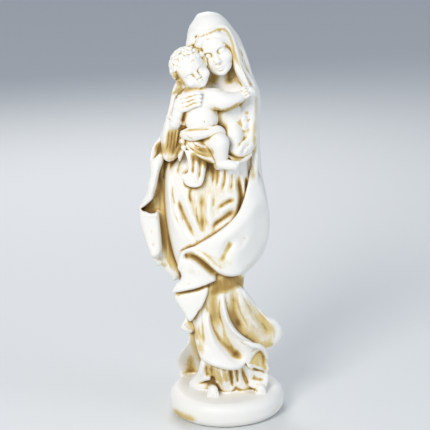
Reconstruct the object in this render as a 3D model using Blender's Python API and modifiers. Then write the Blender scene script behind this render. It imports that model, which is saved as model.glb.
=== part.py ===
"""Statuette of a standing mother holding her child, cast in one piece with a round base.

The figure is shaped like clay: each form adds to, or cuts from, a block of distances to the surface.
The skin of that block is then thinned to few faces and joined to the turned base.

Sizes are in metres. Places on the figure are in figure units, close to a millimetre each: level 15
is the top of the base, where the figure starts, and level 280 the top of the veil.
x runs to the viewer's right, y away from the viewer and z up.
"""

import math

import bmesh
import bpy
import numpy as np
from mathutils import Matrix

# Driving sizes, in metres
STATUE_HEIGHT = 0.280
BASE_RADIUS = 0.040
BASE_HEIGHT = 0.0173
BASE_EDGE = 0.0068

# Levels as drawn, in figure units, and how far the figure stands to the left of the base's middle
DRAWN_TOP = 280.0
DRAWN_FOOT = 15.0
DRAWN_OFFSET = -1.2

# The eye that the front drawing is seen from, and the depth of the drawing's plane
EYE = (-3.5, -965.9, 398.7)
DRAWING_DEPTH = -20.0

# Fineness of the clay, and of the finished solid
CLAY_CELL = 1.1
SOLID_TRIANGLES = 8600

CREAM = (0.86, 0.82, 0.72, 1.0)


# Curves and small formulas

def smooth_path(points, samples):
    """Points along a smooth curve through the given ones, and how far along each is, from 0 to 1."""
    points = np.asarray(points, float)
    t = np.linspace(0.0, len(points) - 1.0, samples)
    first = np.clip(t.astype(int), 0, len(points) - 2)
    u = (t - first)[:, None]
    padded = np.vstack([2 * points[0] - points[1], points, 2 * points[-1] - points[-2]])
    before, start, end, after = (padded[first + k] for k in range(4))
    curve = start + 0.5 * u * (end - before + u * (2 * before - 5 * start + 4 * end - after
                                                   + u * (3 * (start - end) + after - before)))
    return curve, t / (len(points) - 1.0)


def profile(stations, level):
    """Values that pass smoothly through a table of (level, value, value, ...) rows."""
    stations = np.asarray(sorted(stations), float)
    levels = stations[:, 0]
    curve, _ = smooth_path(stations, 12 * len(stations))
    order = np.maximum.accumulate(curve[:, 0])
    clipped = np.clip(level, levels[0], levels[-1])
    return [np.interp(clipped, order, curve[:, k]).astype(np.float32)
            for k in range(1, stations.shape[1])]


def eased(t):
    t = np.clip(t, 0.0, 1.0)
    return t * t * (3.0 - 2.0 * t)


def smooth_min(a, b, blend):
    if blend <= 0:
        return np.minimum(a, b)
    near = np.maximum(blend - np.abs(a - b), 0.0)
    return np.minimum(a, b) - near * near / (4.0 * blend)


def smooth_max(a, b, blend):
    return -smooth_min(-a, -b, blend)


def turned(roll=0.0, pitch=0.0, yaw=0.0):
    """Turns in degrees: roll leans the top to the viewer's left, pitch bows, yaw turns to the left."""
    radians = [math.radians(a) for a in (roll, pitch, yaw)]
    turn = (Matrix.Rotation(-radians[2], 3, "Z") @ Matrix.Rotation(-radians[0], 3, "Y")
            @ Matrix.Rotation(radians[1], 3, "X"))
    return np.array(turn)


class Clay:
    """A block of distances to the surface: below zero is clay, above is air."""

    def __init__(self, axes):
        self.axes = axes
        self.field = np.full([len(a) for a in self.axes], 40.0, np.float32)

    def window(self, low, high):
        """The part of the block inside a box, and its open coordinate arrays."""
        spans = [slice(np.searchsorted(a, p), np.searchsorted(a, q))
                 for a, p, q in zip(self.axes, low, high)]
        return tuple(spans), np.ix_(*[a[s] for a, s in zip(self.axes, spans)])

    def add(self, shape, blend=1.5):
        low, high, distance = shape
        spans, (x, y, z) = self.window(np.subtract(low, blend), np.add(high, blend))
        self.field[spans] = smooth_min(self.field[spans], distance(x, y, z), blend)

    def cut(self, shape, blend=1.0):
        low, high, distance = shape
        spans, (x, y, z) = self.window(np.subtract(low, blend), np.add(high, blend))
        self.field[spans] = smooth_max(self.field[spans], -distance(x, y, z), blend)


# Forms: each gives the corners of its box and its distance function

def ellipsoid(centre, radii, turn=np.eye(3)):
    centre, radii = np.asarray(centre, float), np.asarray(radii, float)
    reach = np.sqrt(((turn * radii) ** 2).sum(axis=1))

    def distance(x, y, z):
        offsets = (x - centre[0], y - centre[1], z - centre[2])
        local = [sum(turn[k, i] * offsets[k] for k in range(3)) for i in range(3)]
        near = sum((v / r) ** 2 for v, r in zip(local, radii))
        steep = sum((v / (r * r)) ** 2 for v, r in zip(local, radii))
        near = np.sqrt(near)
        return near * (near - 1.0) / np.sqrt(steep + 1e-9)

    return centre - reach, centre + reach, distance


def limb(points, radii):
    """A smooth tapering tube."""
    rows = np.array([[*p, r] for p, r in zip(points, np.broadcast_to(radii, len(points)))], float)
    samples = 2 if len(rows) == 2 else 4 * len(rows) - 3
    path, _ = smooth_path(rows, samples)
    low = (path[:, :3] - path[:, 3:]).min(axis=0)
    high = (path[:, :3] + path[:, 3:]).max(axis=0)

    def distance(x, y, z):
        nearest = None
        for start, end in zip(path[:-1], path[1:]):
            run = end[:3] - start[:3]
            away = (x - start[0], y - start[1], z - start[2])
            along = sum(a * b for a, b in zip(away, run)) / max(run @ run, 1e-6)
            along = np.clip(along, 0.0, 1.0)
            off = [a - along * b for a, b in zip(away, run)]
            gap = np.sqrt(sum(v * v for v in off)) - (start[3] + (end[3] - start[3]) * along)
            nearest = gap if nearest is None else np.minimum(nearest, gap)
        return nearest

    return low, high, distance


def oval(stations, level):
    """Middle and half width, then middle and half depth, of a loft's section at a level."""
    left, right, front, back = profile(stations, level)
    return (left + right) / 2, (right - left) / 2, (front + back) / 2, (back - front) / 2


def loft(stations, squareness=2.2, hem=None):
    """A body whose sections are ovals: rows of (level, left, right, front, back)."""
    rows = np.asarray(sorted(stations), float)

    def distance(x, y, z):
        across, wide, through, deep = oval(stations, z)
        across, through = x - across, y - through
        reach = np.sqrt(across * across + through * through) + 1e-3
        share = np.abs(across / wide) ** squareness + np.abs(through / deep) ** squareness
        body = reach * (1.0 - 1.0 / np.maximum(share ** (1.0 / squareness), 0.05))
        foot = hem(x, y) if hem else rows[0, 0]
        return smooth_max(smooth_max(body, foot - z, 2.0), z - rows[-1, 0], 2.0)

    low = (rows[:, 1].min(), rows[:, 3].min(), rows[0, 0])
    high = (rows[:, 2].max(), rows[:, 4].max(), rows[-1, 0])
    return np.subtract(low, 3), np.add(high, 3), distance


def on_front(stations, x, level, squareness=2.2):
    """A point on the front of a loft."""
    across, wide, through, deep = (float(v) for v in oval(stations, level))
    share = min(abs((x - across) / wide), 1.0) ** squareness
    return (x, through - deep * (1.0 - share) ** (1.0 / squareness), level)


def outline_distance(x, z, outline):
    """Distance in the front plane to a smooth closed outline, below zero inside it."""
    loop = np.vstack([outline, outline[:1]])
    points, _ = smooth_path(loop, 5 * len(outline))
    squared = np.full(np.broadcast(x, z).shape, 1e6)
    inside = np.zeros(squared.shape, bool)
    for (ax, az), (bx, bz) in zip(points[:-1], points[1:]):
        dx, dz = bx - ax, bz - az
        along = np.clip(((x - ax) * dx + (z - az) * dz) / max(dx * dx + dz * dz, 1e-9), 0, 1)
        squared = np.minimum(squared, (x - ax - along * dx) ** 2 + (z - az - along * dz) ** 2)
        crosses = (az > z) != (bz > z)
        inside ^= crosses & (x < ax + (z - az) * dx / (dz if dz else 1e-9))
    distance = np.sqrt(squared)
    return np.where(inside, -distance, distance).astype(np.float32)


def seen(x, y, z):
    """Where a place shows on the front drawing: across, and up."""
    scale = (DRAWING_DEPTH - EYE[1]) / (y - EYE[1])
    return EYE[0] + (x - EYE[0]) * scale, EYE[2] + (z - EYE[2]) * scale


def placed(across, up, depth):
    """The place at a depth that shows at a point of the front drawing."""
    scale = (depth - EYE[1]) / (DRAWING_DEPTH - EYE[1])
    return (EYE[0] + (across - EYE[0]) * scale, depth, EYE[2] + (up - EYE[2]) * scale)


def traced(points):
    """Places for a run of (across, up, depth) points of the front drawing."""
    return [placed(*point) for point in points]


class Drawing:
    """Values over a stretch of the front drawing, read wherever a place in the clay shows on it."""

    def __init__(self, clay, low=(-64, 0), high=(54, 290)):
        step = min(float(np.diff(axis).min()) for axis in clay.axes)
        self.step = max(step, 0.3)
        self.x = np.arange(low[0], high[0], self.step, dtype=np.float32)[:, None]
        self.z = np.arange(low[1], high[1], self.step, dtype=np.float32)[None, :]
        self.height = np.zeros((self.x.size, self.z.size), np.float32)

    def over(self, x, y, z):
        total = np.empty((x.size, y.size, z.size), np.float32)
        for row, depth in enumerate(y.ravel()):
            across, up = seen(x.ravel(), depth, z.ravel())
            u = np.clip((across - self.x[0, 0]) / self.step, 0, self.x.size - 1.001)
            v = np.clip((up - self.z[0, 0]) / self.step, 0, self.z.size - 1.001)
            i, k = u.astype(int), v.astype(int)
            u, v = (u - i)[:, None], (v - k)[None, :]
            columns = self.height[i] * (1 - u) + self.height[i + 1] * u
            total[:, row, :] = columns[:, k] * (1 - v) + columns[:, k + 1] * v
        return total


def leaf(clay, outline, front, thickness, rounding=2.0, depths=(-46.0, 4.0)):
    """A leaf of cloth: an outline on the front drawing, the depth of its front, and its thickness."""
    outline = np.asarray(outline, float)
    margin = rounding + 3
    edge = Drawing(clay, outline.min(axis=0) - margin, outline.max(axis=0) + margin)
    edge.height = outline_distance(edge.x, edge.z, outline)
    corners = np.array([placed(across, up, depth) for depth in depths
                        for across in (edge.x[0, 0], edge.x[-1, 0]) for up in (edge.z[0, 0], edge.z[0, -1])])

    def distance(x, y, z):
        nearest = front(x, z) if callable(front) else front
        half = (thickness(x, z) if callable(thickness) else thickness) / 2
        return smooth_max(edge.over(x, y, z), np.abs(y - nearest - half) - half, rounding)

    return corners.min(axis=0), corners.max(axis=0), distance


class Relief(Drawing):
    """Heights over the front drawing, that swell or sink a body's front or back."""

    def stroke(self, path, width, height, ends=0.35):
        """A fold along a path: a ridge where height is above zero, else a groove."""
        line, share = smooth_path(path, 6 * len(path))
        low, high = line.min(axis=0) - width, line.max(axis=0) + width
        spans = (slice(*np.searchsorted(self.x[:, 0], (low[0], high[0]))),
                 slice(*np.searchsorted(self.z[0], (low[1], high[1]))))
        x, z = self.x[spans[0]], self.z[:, spans[1]]
        near = np.full(self.height[spans].shape, 1e6, np.float32)
        along = np.zeros(near.shape, np.float32)
        for (ax, az), (bx, bz), s, e in zip(line[:-1], line[1:], share[:-1], share[1:]):
            dx, dz = bx - ax, bz - az
            t = np.clip(((x - ax) * dx + (z - az) * dz) / max(dx * dx + dz * dz, 1e-9), 0, 1)
            squared = (x - ax - t * dx) ** 2 + (z - az - t * dz) ** 2
            closer = squared < near
            near = np.where(closer, squared, near)
            along = np.where(closer, s + (e - s) * t, along)
        off = np.clip(np.sqrt(near) / width, 0.0, 1.0)
        rise = (1.0 - off) ** 2 * (1.0 + 2.0 * off)
        fade = eased(np.minimum(along, 1.0 - along) / ends) if ends else 1.0
        self.height[spans] += height * rise * fade

    def strokes(self, rows):
        for path, width, height in rows:
            self.stroke(path, width, height)

    def patch(self, outline, height, edge=1.2):
        """Raises or sinks the area inside an outline."""
        outline = np.asarray(outline, float)
        self.height += height * eased(0.5 - outline_distance(self.x, self.z, outline) / edge)


def relieved(shape, relief, spine, front=True, soft=6.0):
    """The same shape with a relief over its front or its back."""
    low, high, distance = shape

    def swollen(x, y, z):
        side = (spine - y) if front else (y - spine)
        return distance(x, y, z) - relief.over(x, y, z) * eased(0.5 + side / soft)

    reach = max(6.0, float(np.abs(relief.height).max()))
    return np.subtract(low, reach), np.add(high, reach), swollen


def bowed(nearest, centre, left, right):
    """A depth that is nearest the viewer at one place and falls back to each side of it."""
    def depth(x, z):
        off = x - centre
        return nearest + np.where(off < 0, left, right) * off * off
    return depth


# The figure's main bodies. Rows are level, left, right, front, back.

GOWN_STATIONS = [(13, -16, 27, -15.5, 25), (24, -16, 27, -15.5, 25), (31, -16, 26, -15.5, 24),
                 (37, -16, 25, -16.5, 23.5), (44, -16.6, 22, -18, 23), (52, -20.5, 19, -20, 22.5),
                 (60, -23.5, 17, -21, 22.5), (67, -24, 16, -22, 22.5), (75, -23.5, 15, -22.5, 22.5),
                 (90, -26, 15, -25, 23), (105, -30, 18, -26, 23), (120, -35, 23, -28, 24),
                 (135, -38, 26, -29, 25), (150, -39, 27, -28.5, 25), (165, -38, 27, -27, 25),
                 (180, -36, 26, -24, 24), (195, -32, 26, -19, 24), (208, -28, 26, -16, 23),
                 (220, -26, 25, -14, 21), (229, -20, 20, -12, 17), (236, -9, 13, -9, 11),
                 (244, -5, 9, -7, 10)]
MANTLE_STATIONS = [(78, -24, 14, -4, 26), (96, -32, 17, -6, 27), (108, -38, 23, -8, 28),
                   (120, -41, 29, -11, 29), (135, -44, 33, -13, 29), (150, -44.5, 32.5, -14, 29),
                   (165, -44.5, 30, -15, 28.5), (180, -44, 29, -17, 28), (190, -41, 28.5, -18, 28),
                   (203, -36.5, 28.7, -18, 27), (214, -33, 29.6, -18, 26), (224, -30, 29.2, -18, 25),
                   (231, -27, 26.7, -18, 24), (238, -24, 24, -18.5, 23), (247, -20.5, 21.5, -20, 21),
                   (255, -18.6, 18.7, -21.5, 18), (263, -18.9, 15.8, -22, 14.5),
                   (270, -17.3, 11, -20.5, 10.5), (275, -14.0, 7.2, -17, 7.5),
                   (278.3, -11.7, 3.2, -13.5, 4), (279.6, -8.5, 0, -10, 0.5), (280.3, -5.5, -3, -6, -3.5)]

# Outlines on the front drawing are runs of (across, up) points

MANTLE_OPENING = [
    (-17, 261), (-15, 266), (-10, 266.5), (-5, 267), (-1, 269), (3, 271), (7, 270), (9.5, 265.5),
    (11.5, 259), (13.5, 252), (15.5, 247), (18, 241.5), (21.5, 235.5), (25, 229), (26, 215), (26, 195),
    (25, 175), (24, 165), (-20, 165), (-37, 170), (-38, 178), (-36.5, 188), (-35, 200), (-31, 213),
    (-28, 226), (-25, 239), (-20, 251),
]


def gown_folds(clay):
    relief = Relief(clay)
    relief.strokes((
        # Belly and thigh
        ([(-28.5, 163), (-27, 154), (-23.5, 144), (-19, 134), (-15, 123)], 4.6, -3.4),
        ([(-25, 166), (-22, 152), (-18, 138), (-13, 126)], 5.0, 1.5),
        ([(-34, 184), (-34, 165), (-32, 146), (-26, 126)], 5.0, 2.0),
        ([(-31, 178), (-31.5, 160), (-29.5, 144), (-23, 126)], 3.0, -1.6),
        ([(-38, 178), (-39.5, 155), (-38, 132), (-33, 108)], 5.0, -4.5),
        ([(-20, 165), (-18, 150), (-15.5, 136)], 4.0, -1.2),
        ([(-11.5, 165), (-12.5, 148), (-11.5, 130)], 4.5, -1.6),
        ([(-6, 164), (-7.5, 150), (-7, 138)], 3.6, 0.9),
        ([(12, 147.2), (7.5, 146.6), (1.6, 142.6), (-3.6, 138.4), (-6.6, 131)], 3.4, -2.1),
        ([(11, 142.5), (4, 140), (-2, 134.5)], 3.6, 1.3),
        ([(12, 155), (6.5, 154.8), (1.6, 151.8), (-2, 147.6)], 3.0, -1.4),
        ([(10, 151.5), (4, 150), (-2, 145.5)], 3.4, 1.1),
        # Folds that fall from the arm
        ([(13, 181), (13, 168), (14.5, 157), (13.5, 148), (10, 141)], 3.6, -3.4),
        ([(16.5, 176), (18.5, 164), (17.5, 154), (14, 146)], 2.8, -2.6),
        ([(15.5, 176), (16, 164), (16, 155)], 2.4, 1.2),
        ([(22.5, 190), (22, 178), (24, 166)], 4.6, -3.6),
        ([(-4.5, 182), (-4, 174), (-4.5, 164)], 2.0, -1.3),
        ([(-0.5, 182), (-1, 173), (-2.5, 162)], 2.0, -1.3),
        ([(4, 180), (3.5, 170), (1, 160)], 2.2, -1.5),
        ([(8.5, 178), (8.5, 168), (7, 160)], 2.4, -1.2),
        ([(-26, 192), (-30, 184), (-34, 174)], 2.4, -1.8),
        ([(-22, 190), (-26, 181), (-29, 170)], 2.4, -1.6),
        ([(-18.5, 166), (-20, 160), (-20, 152)], 2.2, -0.8),
        # Chest and sleeve at the viewer's right
        ([(8.5, 243), (7.5, 237), (7.5, 230)], 2.2, -2.0),
        ([(23, 226), (24, 208), (23, 190)], 3.0, -1.6),
    ))
    return relief


def hanging_folds(clay, rows, width, height):
    """Ridges that hang with a slight sway, each from a top to a foot, with a furrow beside it."""
    relief = Relief(clay)
    sways, weights = (3.0, -1.6, 2.2, -3.4, 0.8), (1.0, 0.65, 1.25, 0.8, 1.1)
    for number, ((top_x, top), (foot_x, foot)) in enumerate(rows):
        sway, weight = sways[number % 5], weights[number % 5]
        path = [(top_x, top), (top_x * 0.7 + foot_x * 0.3 + sway, top * 0.66 + foot * 0.34),
                (top_x * 0.3 + foot_x * 0.7 - 0.5 * sway, top * 0.3 + foot * 0.7), (foot_x, foot)]
        relief.stroke(path, width * weight, height * weight, 0.28)
        beside = 4.2 + 1.6 * weight
        furrow = [(x + beside, z - 9 * weight * (step == 0)) for step, (x, z) in enumerate(path)]
        relief.stroke(furrow, 0.6 * width * weight, -0.7 * height * weight, 0.28)
    return relief


def veil_folds(clay):
    """Pleats of the veil beside the face and over the arms."""
    relief = Relief(clay)
    relief.strokes((
        ([(13, 263), (16.5, 254), (20, 243), (26, 231)], 3.0, -1.0),
        ([(16, 266), (19.5, 254), (23, 243), (28, 232)], 2.6, 0.8),
        ([(28, 224), (28.5, 205), (28, 180)], 2.4, -1.2),
        ([(-30, 226), (-34, 211), (-39, 200)], 2.6, 1.0),
        ([(-29, 222), (-32, 211), (-36, 201)], 2.0, -1.2),
    ))
    return relief


def add_mantle(clay):
    body = loft(MANTLE_STATIONS, 2.2, lambda x, y: 90.0 + 0.22 * x + 2.5 * np.sin(0.33 * x + 0.05 * y))
    folds = hanging_folds(clay, (((-2, 256), (-9, 96)), ((9, 249), (7, 104)), ((-13, 245), (-23, 96)),
                                 ((19, 237), (21, 112)), ((-23, 231), (-36, 116))), 6.5, 3.4)
    body = relieved(body, folds, 9.0, front=False, soft=14.0)
    body = relieved(body, veil_folds(clay), -3.0)
    clay.add(body, 1.0)
    clay.cut(leaf(clay, MANTLE_OPENING, -60.0,
                  lambda x, z: 57.0 - 7.0 * eased((z - 222.0) / 10.0) - 4.0 * eased((z - 246.0) / 10.0),
                  1.5, (-62, 0)), 1.2)
    rim = [(-17, 265.0), (-14, 268.0), (-8, 268.4), (-3, 269.2), (3, 271.8), (7, 270.6), (10.0, 265.4),
           (12.5, 257.5), (15, 249.5), (18, 242), (21.5, 236), (24.8, 228.5), (25.8, 213), (25.8, 196),
           (25, 180), (24, 166)]
    rim = [np.add(on_front(MANTLE_STATIONS, x, z), (0, 0.5, 0)) for x, z in rim]
    clay.add(limb(rim, (1.2, 1.3, 1.3, 1.3, 1.4, 1.5, 1.6, 1.6, 1.6, 1.7, 1.8, 1.8, 1.7, 1.6, 1.5, 1.4)),
             1.2)
    edge = [(-22, 238), (-27.5, 229), (-30.5, 217), (-33.5, 206), (-37.0, 198)]
    edge = [np.add(on_front(MANTLE_STATIONS, x, z), (0, 1.0, 0)) for x, z in edge]
    clay.add(limb(edge, (1.6, 1.7, 1.7, 1.7, 1.9)), 1.6)
    add_side_panel(clay)


def add_side_panel(clay):
    """The mantle's fall from the left arm: an upper and a lower leaf with a deep turn between."""
    behind = [(-34, 206), (-38, 200), (-43.5, 192), (-45, 184), (-45, 174), (-47, 165), (-50, 158),
              (-52.5, 152), (-52.5, 143), (-50.5, 133), (-48.5, 124), (-46.5, 117.5), (-44, 111.2),
              (-40, 110.6), (-38, 107), (-35, 103), (-32, 99.5), (-28, 106), (-29, 130), (-31, 165)]
    clay.add(leaf(clay, behind, bowed(-7.0, -38, 0.02, 0.02), 15.0, 4.0, (-30, 16)), 2.0)
    upper = [(-33, 214), (-38, 201.5), (-43.5, 194), (-45.8, 185), (-45.8, 175), (-48.0, 168), (-48.6, 163),
             (-51.5, 157.5), (-54.4, 152.4), (-52.0, 152.0), (-48.5, 154.5), (-44.5, 158.5), (-41.2, 164),
             (-39.6, 171), (-37.8, 179), (-36.6, 186), (-35.5, 193), (-32, 204)]
    relief = Relief(clay)
    relief.strokes((
        ([(-37, 184), (-39.5, 174), (-42.5, 164), (-46, 157)], 3.0, -2.4),
        ([(-40.5, 186), (-42.5, 174), (-45, 164), (-50, 156)], 3.4, 1.4),
    ))
    body = leaf(clay, upper, bowed(-18.5, -40, 0.035, 0.05),
                lambda x, z: 12.0 + 0.3 * np.maximum(x + 48, 0), 2.6)
    clay.add(relieved(body, relief, -8.0), 1.6)
    lower = [(-54.4, 151.2), (-51, 149.0), (-47.5, 147.2), (-44, 147.2), (-41.6, 148.6), (-40.8, 140),
             (-40.2, 130), (-40.2, 122), (-42.5, 117.5), (-46.6, 116.8), (-48.2, 120), (-50.2, 126),
             (-52.4, 134), (-54.2, 143)]
    relief = Relief(clay)
    relief.stroke([(-52, 149), (-47, 146.4), (-41, 147.4)], 3.0, 1.0, 0.2)
    relief.stroke([(-47, 143), (-46.5, 130), (-44, 119)], 3.4, -0.9)
    body = leaf(clay, lower, bowed(-15.5, -44, 0.035, 0.09), 14.0, 3.0)
    clay.add(relieved(body, relief, -7.0), 2.4)
    crescent = [(-38.0, 199.5), (-43, 200), (-49, 194), (-49, 185), (-44.6, 184.6), (-41.0, 187.2),
                (-38.0, 191.5)]
    clay.cut(leaf(clay, crescent, -40.0, lambda x, z: 26.5 - 0.5 * np.maximum(-x - 40, 0), 1.5), 2.0)


def add_swag(clay):
    """The mantle's hem, swept across the hips and doubled back at the left in three layers."""
    tip = [(-34.2, 91.5), (-31.2, 84), (-27.4, 78), (-25.2, 73.5), (-22.4, 70.3), (-17.6, 75.6), (-13.4, 82),
           (-10.4, 89), (-8.6, 96), (-4, 100), (-12, 103), (-28, 97)]
    relief = Relief(clay)
    relief.stroke([(-36, 91), (-27, 91.6), (-18, 93.4), (-10, 97), (-2, 100)], 4.0, -1.8, 0.1)
    body = leaf(clay, tip, bowed(-28.5, -14, 0.012, 0.02), lambda x, z: 7.5 + 0.7 * np.maximum(x + 30, 0),
                1.8)
    clay.add(relieved(body, relief, -18.0), 0.8)
    second = [(-24.5, 121.5), (-28.4, 117), (-29.9, 109.5), (-28.6, 102.5), (-32.2, 96.4), (-34.5, 91.6),
              (-31.8, 91.2), (-26, 92.4), (-19, 93.6), (-12, 95.6), (-6, 98.2), (-1, 101), (6, 104),
              (0, 113), (-10, 120), (-18, 123)]
    relief = Relief(clay)
    relief.stroke([(-27, 117.5), (-19, 116.4), (-12, 111.6), (-5, 104.6), (2, 99.5)], 4.6, -3.2, 0.12)
    relief.stroke([(-33, 93), (-24, 94), (-13, 97)], 3.0, 0.8)
    relief.stroke([(-27, 112), (-27.5, 104), (-31, 95)], 3.0, -1.2)
    body = leaf(clay, second, bowed(-32.0, -12, 0.010, 0.02),
                lambda x, z: 6.5 + 0.7 * np.maximum(x + 30, 0), 2.0)
    clay.add(relieved(body, relief, -22.0), 0.8)
    swag = [(-28.6, 116.5), (-27.5, 120), (-24.0, 121.3), (-19, 123.2), (-14, 126), (-5, 131), (4.5, 138),
            (11.5, 145.5), (15.6, 154), (18.5, 164), (22, 176), (28, 169), (30.4, 160), (32.5, 150),
            (33.4, 140), (32.6, 130), (29.8, 120), (24.8, 112), (18.4, 105.6), (12, 102.4), (5.5, 101.6),
            (-0.5, 103.8), (-6.5, 108.6), (-12, 113.6), (-17.5, 117.6), (-22.5, 119.2), (-26.5, 118.0)]
    relief = Relief(clay)
    relief.strokes((
        ([(29, 166), (24, 150), (15, 138), (2, 128), (-14, 122)], 8.0, 2.4),
        ([(31, 146), (23, 136), (17, 128), (11, 119), (6, 110)], 6.0, 1.5),
        ([(36, 132), (27, 120), (19, 110), (10, 104)], 9.0, -2.0),
        ([(8.5, 132), (5, 124), (1.5, 116), (-1.5, 110)], 4.4, -1.5),
        ([(19, 131), (15, 126), (11, 119)], 3.6, -1.0),
        ([(-24, 119.5), (-17, 118.5), (-11, 114.5), (-5, 108.5), (0, 104.8), (7, 102.6)], 3.0, 1.0),
    ))
    sweep = bowed(-35.5, -2, 0.0115, 0.0175)
    body = leaf(clay, swag, lambda x, z: sweep(x, z) + 0.3 * np.maximum(z - 152.0, 0.0),
                lambda x, z: 14.0 + 0.75 * np.maximum(x, 0), 3.4, (-48, 12))
    clay.add(relieved(body, relief, -8.0, soft=10.0), 1.4)


def add_skirt(clay):
    """The upper skirt: a front panel with a swung hem, the lobe that flies to the right, and its curl."""
    lobe = [(4, 100), (16.2, 91), (22, 82.6), (28, 74.4), (32, 71.6), (36.5, 69.6), (40.2, 64.8),
            (40.8, 59.5), (38.8, 54), (34.4, 50), (29, 46.2), (22, 45.6), (10, 52), (2, 66), (0, 84)]
    relief = Relief(clay)
    relief.strokes((
        ([(3, 98), (5, 84), (9, 70), (16, 60)], 7.0, -3.6),
        ([(11, 96), (15, 82), (22, 68), (30, 58)], 6.0, 1.4),
        ([(15, 90), (20, 78), (27, 66), (31, 56)], 5.0, -1.6),
    ))
    body = leaf(clay, lobe, lambda x, z: -25.0 + 0.46 * np.maximum(x - 2.0, 0.0),
                lambda x, z: 30.0 - 0.45 * np.maximum(x - 6.0, 0.0), 4.0, (-40, 26))
    clay.add(relieved(body, relief, -2.0, soft=8.0), 2.0)
    front = [(-16, 104), (-21.5, 92), (-22.5, 78), (-20.5, 62), (-18, 49), (-15.6, 42.4), (-10, 38.4),
             (-4, 35.9), (1, 34.4), (6, 33.6), (11, 34.4), (15.6, 37.6), (18.4, 42), (20.4, 47),
             (24.5, 50.8), (19.5, 52.2), (13, 55.4), (8, 60.8), (4.2, 68), (2.0, 78), (0.5, 90), (2, 104)]
    relief = Relief(clay)
    relief.stroke([(-4, 104), (-6, 92), (-6.4, 80), (-4.8, 69), (-1.4, 59), (3.8, 50.6), (10, 43.6),
                   (19, 37.6)], 8.0, -7.6, 0.2)
    relief.strokes((
        ([(-0.8, 96), (0.2, 78), (4.4, 66.6), (10.4, 59), (18, 53.8), (24, 51)], 3.6, 4.4),
        ([(-12, 94), (-13.6, 76), (-14.4, 60), (-12, 46)], 4.2, -1.6),
        ([(-8.4, 90), (-9.4, 72), (-7.6, 56), (-1, 42)], 5.0, 1.8),
        ([(-19, 84), (-19.4, 68), (-18, 54)], 3.4, -1.4),
        ([(-12, 40.4), (-4, 37.6), (4, 35.6), (12, 36.8)], 3.0, 1.2),
    ))
    body = leaf(clay, front, lambda x, z: -25.6 - 4.5 * eased((70.0 - z) / 40.0) + 0.012 * (x + 3) ** 2,
                16.0, 2.4, (-46, 0))
    clay.add(relieved(body, relief, -14.0, soft=10.0), 1.6)
    curl = [(15.5, 38), (18, 42), (21, 47), (24.8, 49.4), (27.8, 47.4), (29.6, 43), (30, 38), (31.2, 33.4),
            (28.6, 31.0), (23, 32), (17, 35)]
    relief = Relief(clay)
    relief.patch([(17, 38), (21.4, 45), (25, 47.4), (27.6, 43.6), (28.2, 37.4), (29, 32), (22, 32)], -1.8,
                 3.0)
    body = leaf(clay, curl, lambda x, z: -23.5 + 0.5 * np.maximum(x - 18.0, 0.0), 20, 2.4, (-44, 10))
    clay.add(relieved(body, relief, -12.0), 1.2)
    clay.add(limb(traced([(15, 54, -30.0), (20, 51.6, -29), (25, 50.2, -26.5), (28.4, 46.8, -22.5),
                          (29.8, 41.6, -18)]), (1.2, 1.8, 1.8, 1.5, 1.0)), 1.4)


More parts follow.
